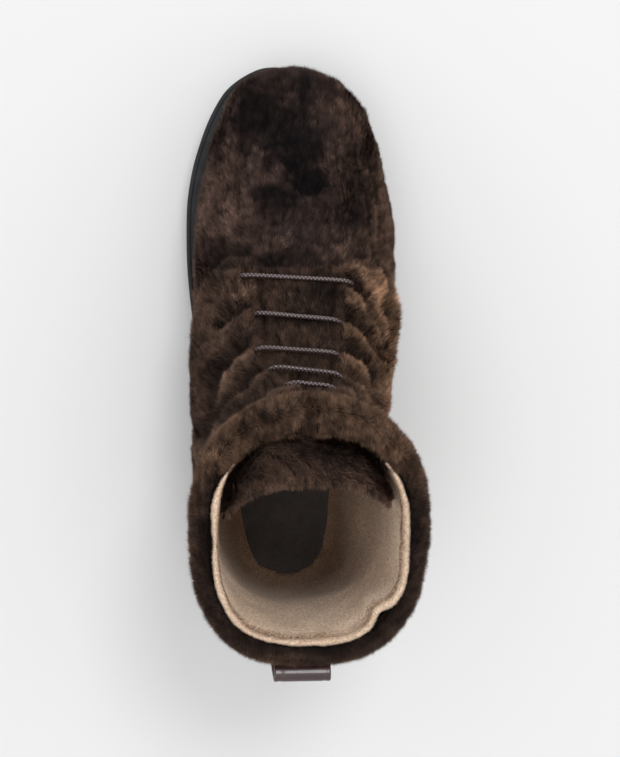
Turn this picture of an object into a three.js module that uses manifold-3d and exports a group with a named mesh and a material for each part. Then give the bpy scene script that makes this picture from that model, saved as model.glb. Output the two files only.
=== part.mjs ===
// A lace-up ankle boot of sheared sheepskin, wool side out, for a right foot. Sizes are in millimetres.
// The origin lies on the floor under the middle of the heel. +Y runs to the toe, +X to the outer side
// of the foot and +Z up. "inner" is the side of the big toe, at -X, and "outer" is the side at +X.
import * as THREE from 'three';
import { mergeVertices } from 'three/addons/utils/BufferGeometryUtils.js';
import Module from 'manifold-3d';

const wasm = await Module();
wasm.setup();

// Driving dimensions
const GAP = 0.3; // air left between two pieces that meet
const WELT_THICKNESS = 3.4;
const WELT_WIDTH = 11;
const INSOLE_THICKNESS = 5;
const LUG_DEPTH = 4;
const GROOVE_WIDTH = 4.4;
const HEEL_BREAST_Y = 42; // front of the heel block
const ARCH_HEIGHT = 8.5;
const ARCH_END_Y = 112; // where the forefoot meets the floor
const QUARTER_STEP = 3.2; // how far the quarters stand over the vamp
const PILE_RELIEF = 0.8; // height of the clumps in the pile
const RIM_LOCKS = 46; // locks of wool along the collar
const LACE_DIAMETER = 3.2;
const HOLE_DIAMETER = 6.8;
const LOOP = { width: 27, leather: 1.7, depth: 9.4, front: -43.6, lean: 0.17, top: 153, sewn: 122, bottom: 106, x: -3 };

// A table is a list of rows whose columns its first line names.
const table = (columns, rows) => {
  const names = columns.split(' ');
  return rows.map((row) => Object.fromEntries(row.map((value, i) => [names[i], value])));
};

// Plan outline and top face of the sole, from heel to toe. bottom is the tread before the arch is cut.
const SOLE = table('y inner outer top bottom', [
  [-40, -9, 9, 28, 0.6],
  [-38.2, -17.5, 17.5, 28, 0.3],
  [-33.5, -26, 26, 28, 0],
  [-25, -33, 33, 28, 0],
  [-12, -37.6, 37.6, 28, 0],
  [4, -40, 40, 28, 0],
  [24, -41.6, 42, 27.8, 0],
  [46, -43.4, 44, 26.6, 0],
  [70, -46, 46.6, 24, 0],
  [95, -49.8, 50, 21, 0],
  [120, -54.2, 53.2, 18.8, 0],
  [145, -56.8, 55.2, 17.6, 0],
  [165, -57.4, 55.2, 17.2, 0],
  [185, -56.8, 52.8, 17.4, 0],
  [203, -53.9, 48.8, 18, 0.5],
  [216, -50.2, 44.6, 19.1, 1.7],
  [228, -45.9, 38.8, 20.4, 3.4],
  [238, -41, 32.2, 21.6, 5],
  [246, -35.8, 24.8, 22.8, 6.6],
  [251.4, -30, 17.2, 23.7, 7.8],
  [256, -22.8, 9.4, 24.5, 9],
  [258.6, -17, 2.6, 25, 9.8],
  [259.8, -11.6, -3.4, 25.2, 10.2],
]);

// Sections of the upper's outer face, from the toe, round the instep, to the collar. Each lies in the
// plane through its front point (fy, fz), its back or bottom point (by, bz) and the X axis. inner and
// outer are its widest X, widest is where along front to back that is, and nf and nb are the powers of
// the rounded front and back halves, with ni for the front of the inside. tf, ts and tb are the wall at
// the front, sides and back.
const UPPER = table('fy fz by bz inner outer widest nf nb ni tf ts tb', [
  [255.6, 41, 255.6, 21, -9.4, 7, 0.5, 2, 2, 2, 6, 6, 6],
  [254.4, 47, 254.4, 16.5, -16.8, 13.8, 0.52, 2.1, 3, 2.1, 6.2, 6, 6],
  [251.8, 52, 251.8, 15.5, -23, 20.8, 0.54, 2.15, 3.6, 2.15, 6.4, 6, 6],
  [247.6, 56.6, 247.6, 14.5, -29.2, 28.4, 0.55, 2.2, 4.2, 2.2, 6.5, 6, 6],
  [240.5, 60.5, 240.5, 13.5, -34, 34.6, 0.55, 2.25, 4.6, 2.25, 6.5, 6, 6],
  [230.5, 64, 230.5, 12, -38.6, 41.6, 0.54, 2.3, 4.8, 2.3, 6.5, 6, 6],
  [216, 67.6, 216, 10.5, -43.6, 48, 0.53, 2.3, 4.8, 2.3, 6.5, 6, 6],
  [198, 70.6, 198, 9.5, -47.8, 52.6, 0.53, 2.3, 4.8, 2.3, 6.5, 6, 6],
  [178, 74, 178, 9, -51.2, 56.6, 0.53, 2.25, 4.8, 2.25, 6.5, 6, 6],
  [161, 77.6, 158, 9, -54.4, 60, 0.53, 2.2, 4.8, 2.2, 6.5, 6, 6],
  [148.5, 81.4, 139, 9.5, -56, 61.4, 0.53, 2.15, 4.6, 2.15, 6.5, 6, 6],
  [137, 85.6, 119, 11, -56.6, 60.6, 0.52, 2.1, 4.4, 2.1, 6.5, 6, 6],
  [125, 90.6, 96, 13, -56.4, 58, 0.51, 2.1, 4.2, 2.1, 6.6, 6, 6],
  [113, 96.8, 71, 16, -56, 54.6, 0.5, 2.1, 4, 2.1, 6.8, 6.2, 6],
  [103, 103.6, 46, 18.5, -55.5, 53, 0.49, 2.1, 3.5, 2.1, 7, 6.4, 6],
  [95, 111.2, 22, 20, -54.8, 51.8, 0.48, 2.1, 3.1, 2.1, 7.4, 6.6, 6],
  [88.6, 119.4, 0, 20, -54, 51, 0.48, 2.1, 2.8, 2.1, 8, 6.8, 6.2],
  [83.8, 128, -20, 20.5, -53.2, 50.6, 0.47, 2.1, 2.6, 2.1, 9.5, 7, 6.5],
  [80.2, 136.8, -34.6, 27, -52.8, 50.4, 0.47, 2.1, 2.5, 2.12, 11, 7.4, 7],
  [77.8, 145, -39.6, 44, -52.8, 50.8, 0.47, 2.1, 2.45, 2.16, 12.5, 8, 7.6],
  [76.6, 151.8, -40.4, 63, -53.2, 51.6, 0.47, 2.12, 2.45, 2.22, 14, 8.8, 8.4],
  [76.2, 157, -41, 83, -53.8, 52.6, 0.47, 2.14, 2.45, 2.28, 15.2, 9.6, 9.4],
  [76.2, 161.2, -43.4, 103, -54.8, 53.8, 0.47, 2.16, 2.5, 2.36, 16.5, 10.4, 10.4],
  [76.4, 164.4, -46.2, 121, -55.8, 54.9, 0.465, 2.18, 2.55, 2.44, 17.8, 11.2, 11.2],
  [76.6, 167, -49.2, 138, -56.5, 55.8, 0.465, 2.2, 2.6, 2.52, 19, 11.8, 12],
  [76.8, 169, -51.8, 152, -56.7, 56.1, 0.465, 2.2, 2.6, 2.6, 20, 12, 12.4],
]);
const TOP = UPPER.length - 1;
const SHAFT_FROM = 16; // the row from which the loft has left the vamp

// The rounded top of the collar: how far each ring lies inside the last section, and how far above it.
const RIM = table('inset rise', [
  [0.9, 2.4],
  [3, 4.3],
  [6, 5],
  [10, 4.4],
  [15, 2.4],
  [23, -2],
]);

// Lace rows, from the toe up: the section each lies in, the edges of the two facings and its holes.
const ROWS = table('innerAt outerAt gapInner gapOuter holeInner holeOuter', [
  [11.05, 11.5, -20, 20.5, -34.5, 33],
  [12.5, 13, -18.6, 18.6, -33.5, 31],
  [14.3, 14.85, -19, 15.8, -32, 28.5],
  [15.8, 16.5, -12.6, 16, -26.5, 28],
  [17.8, 18.4, -6.4, 11.4, -20, 24.5],
  [20, 20.4, -1.2, 8, -14.5, 21],
]);

// The throat between the facings, with its start on the vamp and its end past the collar.
const THROAT = table('section inner outer', [
  [10.3, -14, 14],
  [10.45, -19, 19.5],
  [11.1, -20.4, 20.6],
  [12.75, -18.6, 18.6],
  [14.5, -19, 15.8],
  [16.15, -12.6, 16],
  [18.1, -6.4, 11.4],
  [20.2, -1.2, 8],
  [22.8, -1.6, 4.2],
  [TOP, -3.8, 1.2],
]);

// The quarter's front edge: its Y at a distance round the upper from the middle of the vamp.
const QUARTER_EDGE = table('girth y', [
  [0, 133],
  [18, 141],
  [28, 147],
  [40, 147],
  [50, 141.5],
  [59, 132],
  [68, 118],
  [80, 100],
  [98, 84],
  [140, 76],
]);

// The tongue: how far its face lies behind the wall's inside, its half widths, its wool over the
// sheet between the facings, the sheet's own thickness, how far its inner wing folds back, its wool
// over the whole width, and how much of the wall's curve it follows.
const TONGUE = table('section behind inner outer wool sheet fold pile curve', [
  [10.1, 0.4, -21, 21, 0, 2.6, 0, 0, 1],
  [10.4, 0.4, -25, 24.5, 0, 2.8, 0, 0, 1],
  [10.7, 0.5, -28.5, 27.5, 4.2, 3, 0, 0, 1],
  [12.75, 0.8, -28.3, 25.6, 4.8, 3, 0, 0, 1],
  [14.5, 1.6, -27.2, 23.2, 5.8, 3.2, 0, 0, 1],
  [15.5, 6.2, -26.4, 24.4, 10, 3.8, 0, 0, 1],
  [16.1, 6.9, -29, 27.6, 11, 4.2, 0, 0, 1],
  [17.6, 8, -34, 33, 8, 5, 0, 0, 1],
  [19.4, 12, -37.5, 36, 3, 5.4, 1, 5.4, 0.95],
  [20.5, 14.6, -38.6, 37, 0, 5, 2, 8.6, 0.9],
  [21.5, 16, -39.4, 37.8, 0, 5, 2, 12.4, 0.86],
  [22.6, 17, -40, 38.2, 0, 4.6, 2.5, 14.5, 0.8],
  [23.6, 18, -40.6, 38.6, 0, 4.4, 3, 12, 0.74],
  [24.4, 18.6, -41, 39, 0, 4.2, 3, 7, 0.7],
  [24.9, 19.4, -39.6, 37.6, 0, 3, 3, 1.5, 0.7],
]);

const lerp = (a, b, t) => a + (b - a) * t;
const clamp01 = (t) => Math.min(1, Math.max(0, t));
const smooth = (t) => clamp01(t) ** 2 * (3 - 2 * clamp01(t));

// The value of one column at x, along straight lines between the rows.
function along(rows, key, x, column) {
  const i = Math.max(1, rows.findIndex((row) => row[key] >= x));
  const last = rows.at(-1);
  if (x >= last[key]) return last[column];
  const t = clamp01((x - rows[i - 1][key]) / (rows[i][key] - rows[i - 1][key]));
  return lerp(rows[i - 1][column], rows[i][column], t);
}

// One section of the upper at any place between the rows, on a smooth curve through them.
function sectionAt(place) {
  const i = Math.min(Math.floor(place), TOP - 1);
  const t = place - i;
  const [a, b, c, d] = [i - 1, i, i + 1, i + 2].map((k) => UPPER[Math.min(Math.max(k, 0), TOP)]);
  const cubic = (name) =>
    0.5 *
    (2 * b[name] +
      (c[name] - a[name]) * t +
      (2 * a[name] - 5 * b[name] + 4 * c[name] - d[name]) * t * t +
      (3 * b[name] - 3 * c[name] + d[name] - a[name]) * t ** 3);
  return Object.fromEntries(Object.keys(b).map((name) => [name, cubic(name)]));
}

// The same section taken in by the wall's thickness, for the inside of the upper.
function insideOf(s) {
  const length = Math.hypot(s.by - s.fy, s.bz - s.fz);
  const [dy, dz] = [(s.by - s.fy) / length, (s.bz - s.fz) / length];
  const toe = s.ts * smooth((s.fy - 215) / 35); // the toe's own wall, along the foot
  return {
    ...s,
    nf: s.ni,
    fy: s.fy + dy * s.tf - toe,
    fz: s.fz + dz * s.tf,
    by: s.by - dy * s.tb - toe,
    bz: s.bz - dz * s.tb,
    inner: s.inner + s.ts,
    outer: s.outer - s.ts,
  };
}

// A point on a section: turn runs from the front (0) by the outer side (0.25) to the back (0.5) and on.
function pointOn(s, turn) {
  const angle = turn * 2 * Math.PI;
  const front = Math.cos(angle) >= 0;
  const power = 2 / (front ? s.nf : s.nb);
  const across = Math.abs(Math.sin(angle)) ** power;
  const ahead = Math.abs(Math.cos(angle)) ** power;
  const depth = front ? s.widest * (1 - ahead) : s.widest + (1 - s.widest) * ahead;
  const middle = (s.inner + s.outer) / 2;
  const half = (s.outer - s.inner) / 2;
  return new THREE.Vector3(
    middle + Math.sign(Math.sin(angle)) * half * across,
    lerp(s.fy, s.by, depth),
    lerp(s.fz, s.bz, depth),
  );
}

// How far behind its front point a section's front half lies at x, as a length.
function depthAt(s, x) {
  const middle = (s.inner + s.outer) / 2;
  const share = Math.min(0.999, Math.abs(x - middle) / ((s.outer - s.inner) / 2));
  const length = Math.hypot(s.by - s.fy, s.bz - s.fz);
  return length * s.widest * (1 - (1 - share ** s.nf) ** (1 / s.nf));
}

// The point at x and a depth behind the section's front point.
function pointBehind(s, x, depth) {
  const length = Math.hypot(s.by - s.fy, s.bz - s.fz);
  return new THREE.Vector3(x, lerp(s.fy, s.by, depth / length), lerp(s.fz, s.bz, depth / length));
}

// A closed mesh from rings of points, each ring the same way round. The ends are closed by a fan, or
// by a ladder between the first and the second half of the ring.
function loft(rings, ladder = false) {
  const count = rings[0].length;
  const points = rings.flat();
  const faces = [];
  for (let r = 0; r + 1 < rings.length; r++)
    for (let i = 0; i < count; i++) {
      const j = (i + 1) % count;
      const [a, b, c, d] = [r * count + i, r * count + j, (r + 1) * count + j, (r + 1) * count + i];
      faces.push(a, b, c, a, c, d);
    }
  for (const [ring, flip] of [[rings[0], true], [rings.at(-1), false]]) {
    const start = flip ? 0 : (rings.length - 1) * count;
    if (ladder) {
      faces.push(...ladderCap(start, count, flip));
      continue;
    }
    const middle = points.push(ring.reduce((sum, p) => sum.add(p), new THREE.Vector3()).divideScalar(count)) - 1;
    for (let i = 0; i < count; i++) {
      const j = (i + 1) % count;
      faces.push(...(flip ? [middle, start + j, start + i] : [middle, start + i, start + j]));
    }
  }
  return facingOut(points, faces);
}

// The faces of a cap whose ring's two halves pair up, point by point.
function ladderCap(start, count, flip) {
  const faces = [];
  for (let i = 0; i + 1 < count / 2; i++) {
    const [a, b, c, d] = [i, i + 1, count - 2 - i, count - 1 - i].map((k) => start + k);
    faces.push(...(flip ? [a, c, b, a, d, c] : [a, b, c, a, c, d]));
  }
  return faces;
}

// A solid from points and faces, with the faces turned round if they point inwards.
function facingOut(points, faces) {
  const geometry = new THREE.BufferGeometry().setFromPoints(points).setIndex(faces);
  return solid(geometry);
}

function solid(geometry) {
  const bare = new THREE.BufferGeometry().setAttribute('position', geometry.getAttribute('position'));
  if (geometry.index) bare.setIndex(geometry.index);
  const merged = mergeVertices(bare, 1e-4);
  const vertProperties = new Float32Array(merged.attributes.position.array);
  const triVerts = new Uint32Array(merged.index.array);
  const made = new wasm.Manifold(new wasm.Mesh({ numProp: 3, vertProperties, triVerts }));
  if (made.volume() > 0) return made;
  const turned = triVerts.slice();
  for (let i = 0; i < turned.length; i += 3) [turned[i], turned[i + 1]] = [turned[i + 1], turned[i]];
  return new wasm.Manifold(new wasm.Mesh({ numProp: 3, vertProperties, triVerts: turned }));
}

// A bar from a profile in the Y-Z plane, x0 to x1 wide.
function sideProfile(points, x0, x1) {
  const shape = new THREE.Shape(points.map(([y, z]) => new THREE.Vector2(y, z)));
  const geometry = new THREE.ExtrudeGeometry(shape, { depth: x1 - x0, bevelEnabled: false, curveSegments: 12 });
  geometry.applyMatrix4(new THREE.Matrix4().set(0, 0, 1, x0, 1, 0, 0, 0, 0, 1, 0, 0, 0, 0, 0, 1));
  return solid(geometry);
}

// The sole's plan outline as points with outward normals, from heel to toe along the inner side and back.
function soleOutline() {
  const inner = SOLE.map((row) => new THREE.Vector2(row.inner, row.y));
  const outer = SOLE.map((row) => new THREE.Vector2(row.outer, row.y)).reverse();
  const points = [...inner, ...outer];
  return points.map((p, i) => {
    const before = points.at(i - 1);
    const after = points[(i + 1) % points.length];
    const normal = new THREE.Vector2(-(after.y - before.y), after.x - before.x).normalize();
    return { p, normal };
  });
}

// A solid that follows the sole's outline. Each level has an inset and a height at each Y.
function soleStack(levels) {
  const outline = soleOutline();
  const count = outline.length;
  const rings = levels.map(({ inset, height }) =>
    outline.map(({ p, normal }) => {
      const [x, y] = [p.x - normal.x * inset, p.y - normal.y * inset];
      return new THREE.Vector3(x, y, height(p.y));
    }),
  );
  const points = rings.flat();
  const faces = [];
  for (let r = 0; r + 1 < rings.length; r++)
    for (let i = 0; i < count; i++) {
      const j = (i + 1) % count;
      const [a, b, c, d] = [r * count + i, r * count + j, (r + 1) * count + j, (r + 1) * count + i];
      faces.push(a, c, b, a, d, c);
    }
  faces.push(...ladderCap(0, count, false), ...ladderCap((rings.length - 1) * count, count, true));
  return facingOut(points, faces);
}

const soleTop = (y) => along(SOLE, 'y', y, 'top');
const treadAt = (y) => along(SOLE, 'y', y, 'bottom');

// Everything below a height over the sole's outline, as a cutter.
function belowSole(rise) {
  const line = SOLE.map((row) => [row.y, row.top + rise]);
  const [first, last] = [line[0], line.at(-1)];
  return sideProfile(
    [[-70, -40], [290, -40], [290, last[1]], ...line.reverse(), [-70, first[1]]],
    -90,
    90,
  );
}

const meshOf = (name, shape, colour, roughness) => {
  const made = shape.getMesh();
  const geometry = new THREE.BufferGeometry();
  geometry.setAttribute('position', new THREE.BufferAttribute(new Float32Array(made.vertProperties), 3));
  geometry.setIndex(new THREE.BufferAttribute(new Uint32Array(made.triVerts), 1));
  geometry.computeVertexNormals();
  const material = new THREE.MeshStandardMaterial({ color: colour, roughness, metalness: 0 });
  const mesh = new THREE.Mesh(geometry, material);
  mesh.name = name;
  return mesh;
};

// Rubber unit: stepped side, arch, and lugs left between grooves.
function outsole() {
  const seat = (y) => soleTop(y) - WELT_THICKNESS - GAP;
  const level = (inset, share) => ({ inset, height: (y) => lerp(treadAt(y), seat(y), share) });
  const side = table('inset share', [
    [2.6, 0],
    [1.2, 0.1],
    [0.9, 0.44],
    [2.3, 0.5],
    [2.3, 0.58],
    [0.8, 0.64],
    [0.8, 0.94],
    [1.4, 1],
  ]);
  const body = soleStack(side.map((row) => level(row.inset, row.share)));
  const arch = sideProfile(
    [
      [HEEL_BREAST_Y, -1],
      [HEEL_BREAST_Y + 1.5, ARCH_HEIGHT],
      [HEEL_BREAST_Y + 22, ARCH_HEIGHT - 1],
      [ARCH_END_Y - 22, 2.4],
      [ARCH_END_Y, 0],
      [ARCH_END_Y, -1],
    ],
    -90,
    90,
  );
  return grooves().reduce((left, groove) => left.subtract(groove), body.subtract(arch));
}

// Tread grooves: slanted ones in from both edges, and one round the middle pad of heel and forefoot.
function grooves() {
  const made = [];
  const reach = 34; // from the edge towards the middle
  const channel = (x, y, length, angle) => {
    const box = new THREE.BoxGeometry(length, GROOVE_WIDTH, 2 * LUG_DEPTH);
    box.rotateZ(angle);
    const z = treadAt(y);
    const slope = Math.atan2(treadAt(y + 4) - treadAt(y - 4), 8);
    box.rotateX(slope);
    return solid(box.translate(x, y, z));
  };
  const slant = THREE.MathUtils.degToRad(16);
  const pitch = 15.5;
  const stretches = table('from to', [
    [-22, 30],
    [126, 250],
  ]);
  for (const { from, to } of stretches)
    for (let y = from; y <= to; y += pitch) {
      const [inner, outer] = [along(SOLE, 'y', y, 'inner'), along(SOLE, 'y', y, 'outer')];
      const length = Math.min(reach, (outer - inner) / 2 - 11);
      made.push(channel(inner + length / 2 - 6, y, length + 12, slant));
      made.push(channel(outer - length / 2 + 6, y, length + 12, -slant));
    }
  return made;
}

// Rubber rand: a ring on the outsole that shows round the upper.
function welt() {
  const seat = (y) => soleTop(y) - WELT_THICKNESS;
  const at = (inset, share) => ({ inset, height: (y) => lerp(seat(y), soleTop(y), share) });
  const ring = soleStack([at(0.6, 0), at(0, 0.2), at(0, 0.72), at(0.8, 1)]);
  const hole = soleStack([at(WELT_WIDTH, -0.5), at(WELT_WIDTH, 1.5)]);
  return ring.subtract(hole);
}

function insole(inside) {
  const floor = (y) => soleTop(y) - WELT_THICKNESS;
  const slab = soleStack([
    { inset: WELT_WIDTH + GAP, height: floor },
    { inset: WELT_WIDTH + GAP, height: (y) => floor(y) + INSOLE_THICKNESS - 1 },
    { inset: WELT_WIDTH + GAP + 1, height: (y) => floor(y) + INSOLE_THICKNESS },
  ]);
  return slab.intersect(inside);
}

// How far a point of the outer face moves out, for the quarters' step and the clumps of the pile.
function faceRelief(p, place, girth) {
  const foot = 1 - smooth((place - 8) / 1.5);
  const edge = along(QUARTER_EDGE, 'girth', girth, 'y');
  const quarter = place > SHAFT_FROM ? 1 : smooth((edge - p.y) / 3.5 + 0.5);
  const step = -QUARTER_STEP * (1 - quarter) * (1 - foot);
  const clumps = Math.sin(girth / 5.3 + 2 * Math.sin(place * 1.9)) * Math.sin(place * 3.7 + 1.6 * Math.sin(girth / 11));
  const clear = smooth((p.z - soleTop(p.y) - 3) / 9); // none where the wall meets the sole
  return (step + PILE_RELIEF * clumps) * clear;
}

// The outer face as rings, with relief along the section's plane, then the rounded rim.
function outerRings(stations, count) {
  const rings = stations.map((place) => {
    const s = sectionAt(place);
    const ring = Array.from({ length: count }, (_, i) => pointOn(s, i / count));
    const middle = pointBehind(s, (s.inner + s.outer) / 2, s.widest * Math.hypot(s.by - s.fy, s.bz - s.fz));
    const girths = [0];
    for (let i = 1; i < count; i++) girths.push(girths[i - 1] + ring[i].distanceTo(ring[i - 1]));
    const round = girths.at(-1) + ring[0].distanceTo(ring.at(-1));
    return ring.map((p, i) => {
      const out = p.clone().sub(middle).normalize();
      return p.clone().addScaledVector(out, faceRelief(p, place, Math.min(girths[i], round - girths[i])));
    });
  });
  return [...rings, ...RIM.map(({ inset, rise }) => rimRing(inset, rise, count))];
}

function rimRing(inset, rise, count) {
  const s = sectionAt(TOP);
  const squarer = lerp(s.nf, s.ni, clamp01(inset / s.ts));
  const shrunk = insideOf({ ...s, ni: squarer, tf: inset, ts: inset, tb: inset });
  return Array.from({ length: count }, (_, i) => pointOn(shrunk, i / count).add(new THREE.Vector3(0, 0, rise)));
}

// The hollow inside the upper, carried on past the collar and down through the sole.
function insideSolid(count) {
  const stations = Array.from({ length: TOP + 1 }, (_, i) => i);
  const rings = stations.map((place) => {
    const s = insideOf(sectionAt(place));
    return Array.from({ length: count }, (_, i) => pointOn(s, i / count));
  });
  const lift = new THREE.Vector3(0, -1, 14);
  rings.push(rings.at(-1).map((p) => p.clone().add(lift)));
  const shell = loft(rings);
  // Under the foot the hollow goes straight down from where it is widest.
  const drop = soleStack([
    { inset: WELT_WIDTH - 1.5, height: (y) => soleTop(y) - 20 },
    { inset: WELT_WIDTH - 1.5, height: (y) => soleTop(y) + 6 },
  ]);
  return shell.add(drop);
}

// A cutter between the facings, wider at the outside so that their edges come out rounded.
function throatCutter() {
  const flare = 4.5;
  const rings = THROAT.map(({ section, inner, outer }) => {
    const s = sectionAt(Math.min(section, TOP));
    const top = section >= TOP ? 14 : 0; // carried on over the collar
    const profile = [
      [inner - flare, -16],
      [outer + flare, -16],
      [outer + flare * 0.8, 0.4],
      [outer, 3.6],
      [outer, s.tf + 9],
      [inner, s.tf + 9],
      [inner, 3.6],
      [inner - flare * 0.8, 0.4],
    ];
    return profile.map(([x, depth]) => pointBehind(s, x, depth).add(new THREE.Vector3(0, 0, top)));
  });
  return loft(rings, true);
}

// A round bar between two points, for lace holes.
function rod(from, to, diameter, sides) {
  const path = new THREE.LineCurve3(from, to);
  return tube(path, diameter, sides, 1);
}

function tube(path, diameter, sides, steps) {
  const section = new THREE.Shape(
    Array.from({ length: sides }, (_, i) => {
      const angle = (i / sides) * 2 * Math.PI;
      return new THREE.Vector2(Math.cos(angle) * (diameter / 2), Math.sin(angle) * (diameter / 2));
    }),
  );
  return solid(new THREE.ExtrudeGeometry(section, { extrudePath: path, steps, bevelEnabled: false }));
}

// A place on the outer face of a facing, and the same place on its inside.
function facingPoint(section, x, depth) {
  const s = sectionAt(section);
  return pointBehind(s, x, depthAt(s, x) + depth);
}

function insidePoint(section, x, depth) {
  const s = insideOf(sectionAt(section));
  return pointBehind(s, x, depthAt(s, x) + depth);
}

function laceHoles() {
  return ROWS.flatMap(({ innerAt, outerAt, holeInner, holeOuter }) =>
    [
      [innerAt, holeInner],
      [outerAt, holeOuter],
    ].map(([section, x]) => rod(facingPoint(section, x, -6), insidePoint(section, x, 6), HOLE_DIAMETER, 10)),
  );
}

// The lace in straight bars: over the facings in each row, and up behind them from row to row.
function laceRoute() {
  const over = LACE_DIAMETER / 2 + 1.7; // the lace's middle over the pile
  const under = LACE_DIAMETER / 2 + 1.7; // and behind the wall's inside
  const bar = (row) => {
    const { innerAt, outerAt, gapInner, gapOuter, holeInner, holeOuter } = ROWS[row];
    const at = (x, depth) => {
      const share = (x - holeInner) / (holeOuter - holeInner);
      return facingPoint(lerp(innerAt, outerAt, share), x, depth);
    };
    return [
      at(holeInner, 2),
      at(holeInner + 2.2, -over),
      at((holeInner + gapInner) / 2, -over - 0.4),
      at(gapInner - 2, -over - 0.2),
      at((gapInner + gapOuter) / 2, -over * 0.85),
      at(gapOuter + 2, -over - 0.2),
      at((holeOuter + gapOuter) / 2, -over - 0.4),
      at(holeOuter - 2.2, -over),
      at(holeOuter, 2),
    ];
  };
  const link = (from, to, side) => {
    const [section, x] = side === 'inner' ? ['innerAt', 'holeInner'] : ['outerAt', 'holeOuter'];
    const [a, b] = [ROWS[from], ROWS[to]];
    const steps = [0, 0.25, 0.5, 0.75, 1];
    return steps.map((t) => insidePoint(lerp(a[section], b[section], t), lerp(a[x], b[x], t), under));
  };
  return [
    ...bar(4).reverse(),
    ...link(4, 2, 'inner'),
    ...bar(2),
    ...link(2, 0, 'outer'),
    ...bar(0).reverse(),
    ...link(0, 1, 'inner'),
    ...bar(1),
    ...link(1, 3, 'outer'),
    ...bar(3).reverse(),
    ...link(3, 5, 'inner'),
    ...bar(5),
  ];
}

function lace() {
  const path = new THREE.CatmullRomCurve3(laceRoute(), false, 'centripetal');
  const steps = Math.round(path.getLength() / (1.9 * LACE_DIAMETER));
  return tube(path, LACE_DIAMETER, 5, steps);
}

// The tongue: a sheet behind the facings whose wool stands up between them.
function tongue() {
  const stations = TONGUE.slice(1).flatMap(({ section }, i) => {
    const before = TONGUE[i].section;
    return section - before > 1 ? [(before + section) / 2, section] : [section];
  });
  const rings = [TONGUE[0].section, ...stations].map((place) => {
    const at = (column) => along(TONGUE, 'section', place, column);
    const [inner, outer] = [at('inner'), at('outer')];
    const [gapInner, gapOuter] = ['inner', 'outer'].map((side) => along(THROAT, 'section', place, side));
    const s = insideOf(sectionAt(place));
    const wing = [0, 0.25, 0.5, 0.75];
    const edge = Math.min(2.6, 0.3 * (gapOuter - gapInner));
    const stops = [
      ...wing.map((t) => ({ x: lerp(inner, gapInner, t), wool: 0 })),
      { x: gapInner + 0.27 * edge, wool: 0 },
      { x: gapInner + edge, wool: 0.85 },
      ...[0.35, 0.65].map((t) => ({ x: lerp(gapInner, gapOuter, t), wool: 1 })),
      { x: gapOuter - edge, wool: 0.85 },
      { x: gapOuter - 0.27 * edge, wool: 0 },
      ...wing.map((t) => ({ x: lerp(outer, gapOuter, t), wool: 0 })).reverse(),
    ];
    const point = ({ x }, depth) => {
      const fold = at('fold') * clamp01(x / inner) ** 3;
      return pointBehind(s, x, at('curve') * depthAt(s, x) + at('behind') + fold + depth);
    };
    // The wool is fuller on the inner side, which leaves a wedge of air before the outer facing.
    const pile = (x) => at('pile') * (1 - (x / (x < 0 ? inner : outer)) ** 4) * (1 - 0.3 * smooth((x + 6) / 14));
    const face = stops.map((stop) => point(stop, -at('wool') * stop.wool - pile(stop.x)));
    const back = stops.map((stop) => point(stop, at('sheet')));
    return [...face, ...back.reverse()];
  });
  return loft(rings, true);
}

// Locks of wool fused on along the collar, each a short leaning spike.
function rimLocks() {
  const s = sectionAt(TOP);
  const locks = [];
  for (let i = 0; i < RIM_LOCKS; i++) {
    const turn = (i + 0.5) / RIM_LOCKS;
    const nearThroat = Math.min(turn, 1 - turn) < 0.03;
    if (nearThroat) continue;
    const wander = Math.sin(i * 2.4);
    const root = pointOn(insideOf({ ...s, tf: 4.5, ts: 4.5, tb: 4.5 }), turn).add(new THREE.Vector3(0, 0, 0.5));
    const tip = pointOn(s, turn + 0.008 * wander).add(new THREE.Vector3(0, 0, 3.4 + 0.7 * wander));
    const out = tip.clone().sub(root);
    tip.copy(root).addScaledVector(out, (6.2 + 0.6 * wander) / out.length());
    const cone = new THREE.ConeGeometry(4.4, root.distanceTo(tip), 5, 1);
    const aim = new THREE.Quaternion().setFromUnitVectors(new THREE.Vector3(0, 1, 0), out.normalize());
    cone.applyQuaternion(aim);
    const centre = root.clone().add(tip).divideScalar(2);
    locks.push(solid(cone.translate(centre.x, centre.y, centre.z)));
  }
  return locks;
}

// A point of the pull loop's side view: out behind the shaft and up, on the lean of the shaft's back.
const onLoop = (out, z) => [LOOP.front - out - LOOP.lean * (z - LOOP.bottom), z];

// A flat seat in the wool at the back of the shaft for the pull loop.
function loopSeat() {
  const [low, high] = [LOOP.bottom - 1.5, LOOP.top + 30];
  const side = GAP + 0.6;
  const corners = [onLoop(-GAP, low), onLoop(30, low), onLoop(30, high), onLoop(-GAP, high)];
  return sideProfile(corners, LOOP.x - LOOP.width / 2 - side, LOOP.x + LOOP.width / 2 + side);
}

function upper(inside) {
  const stations = [];
  for (let place = 0; place <= TOP; place += place >= 8 && place < SHAFT_FROM ? 0.5 : 1) stations.push(place);
  const body = rimLocks().reduce((whole, lock) => whole.add(lock), loft(outerRings(stations, 40)));
  const cut = [inside, belowSole(GAP), throatCutter(), loopSeat(), ...laceHoles()];
  return cut.reduce((left, cutter) => left.subtract(cutter), body);
}

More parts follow.
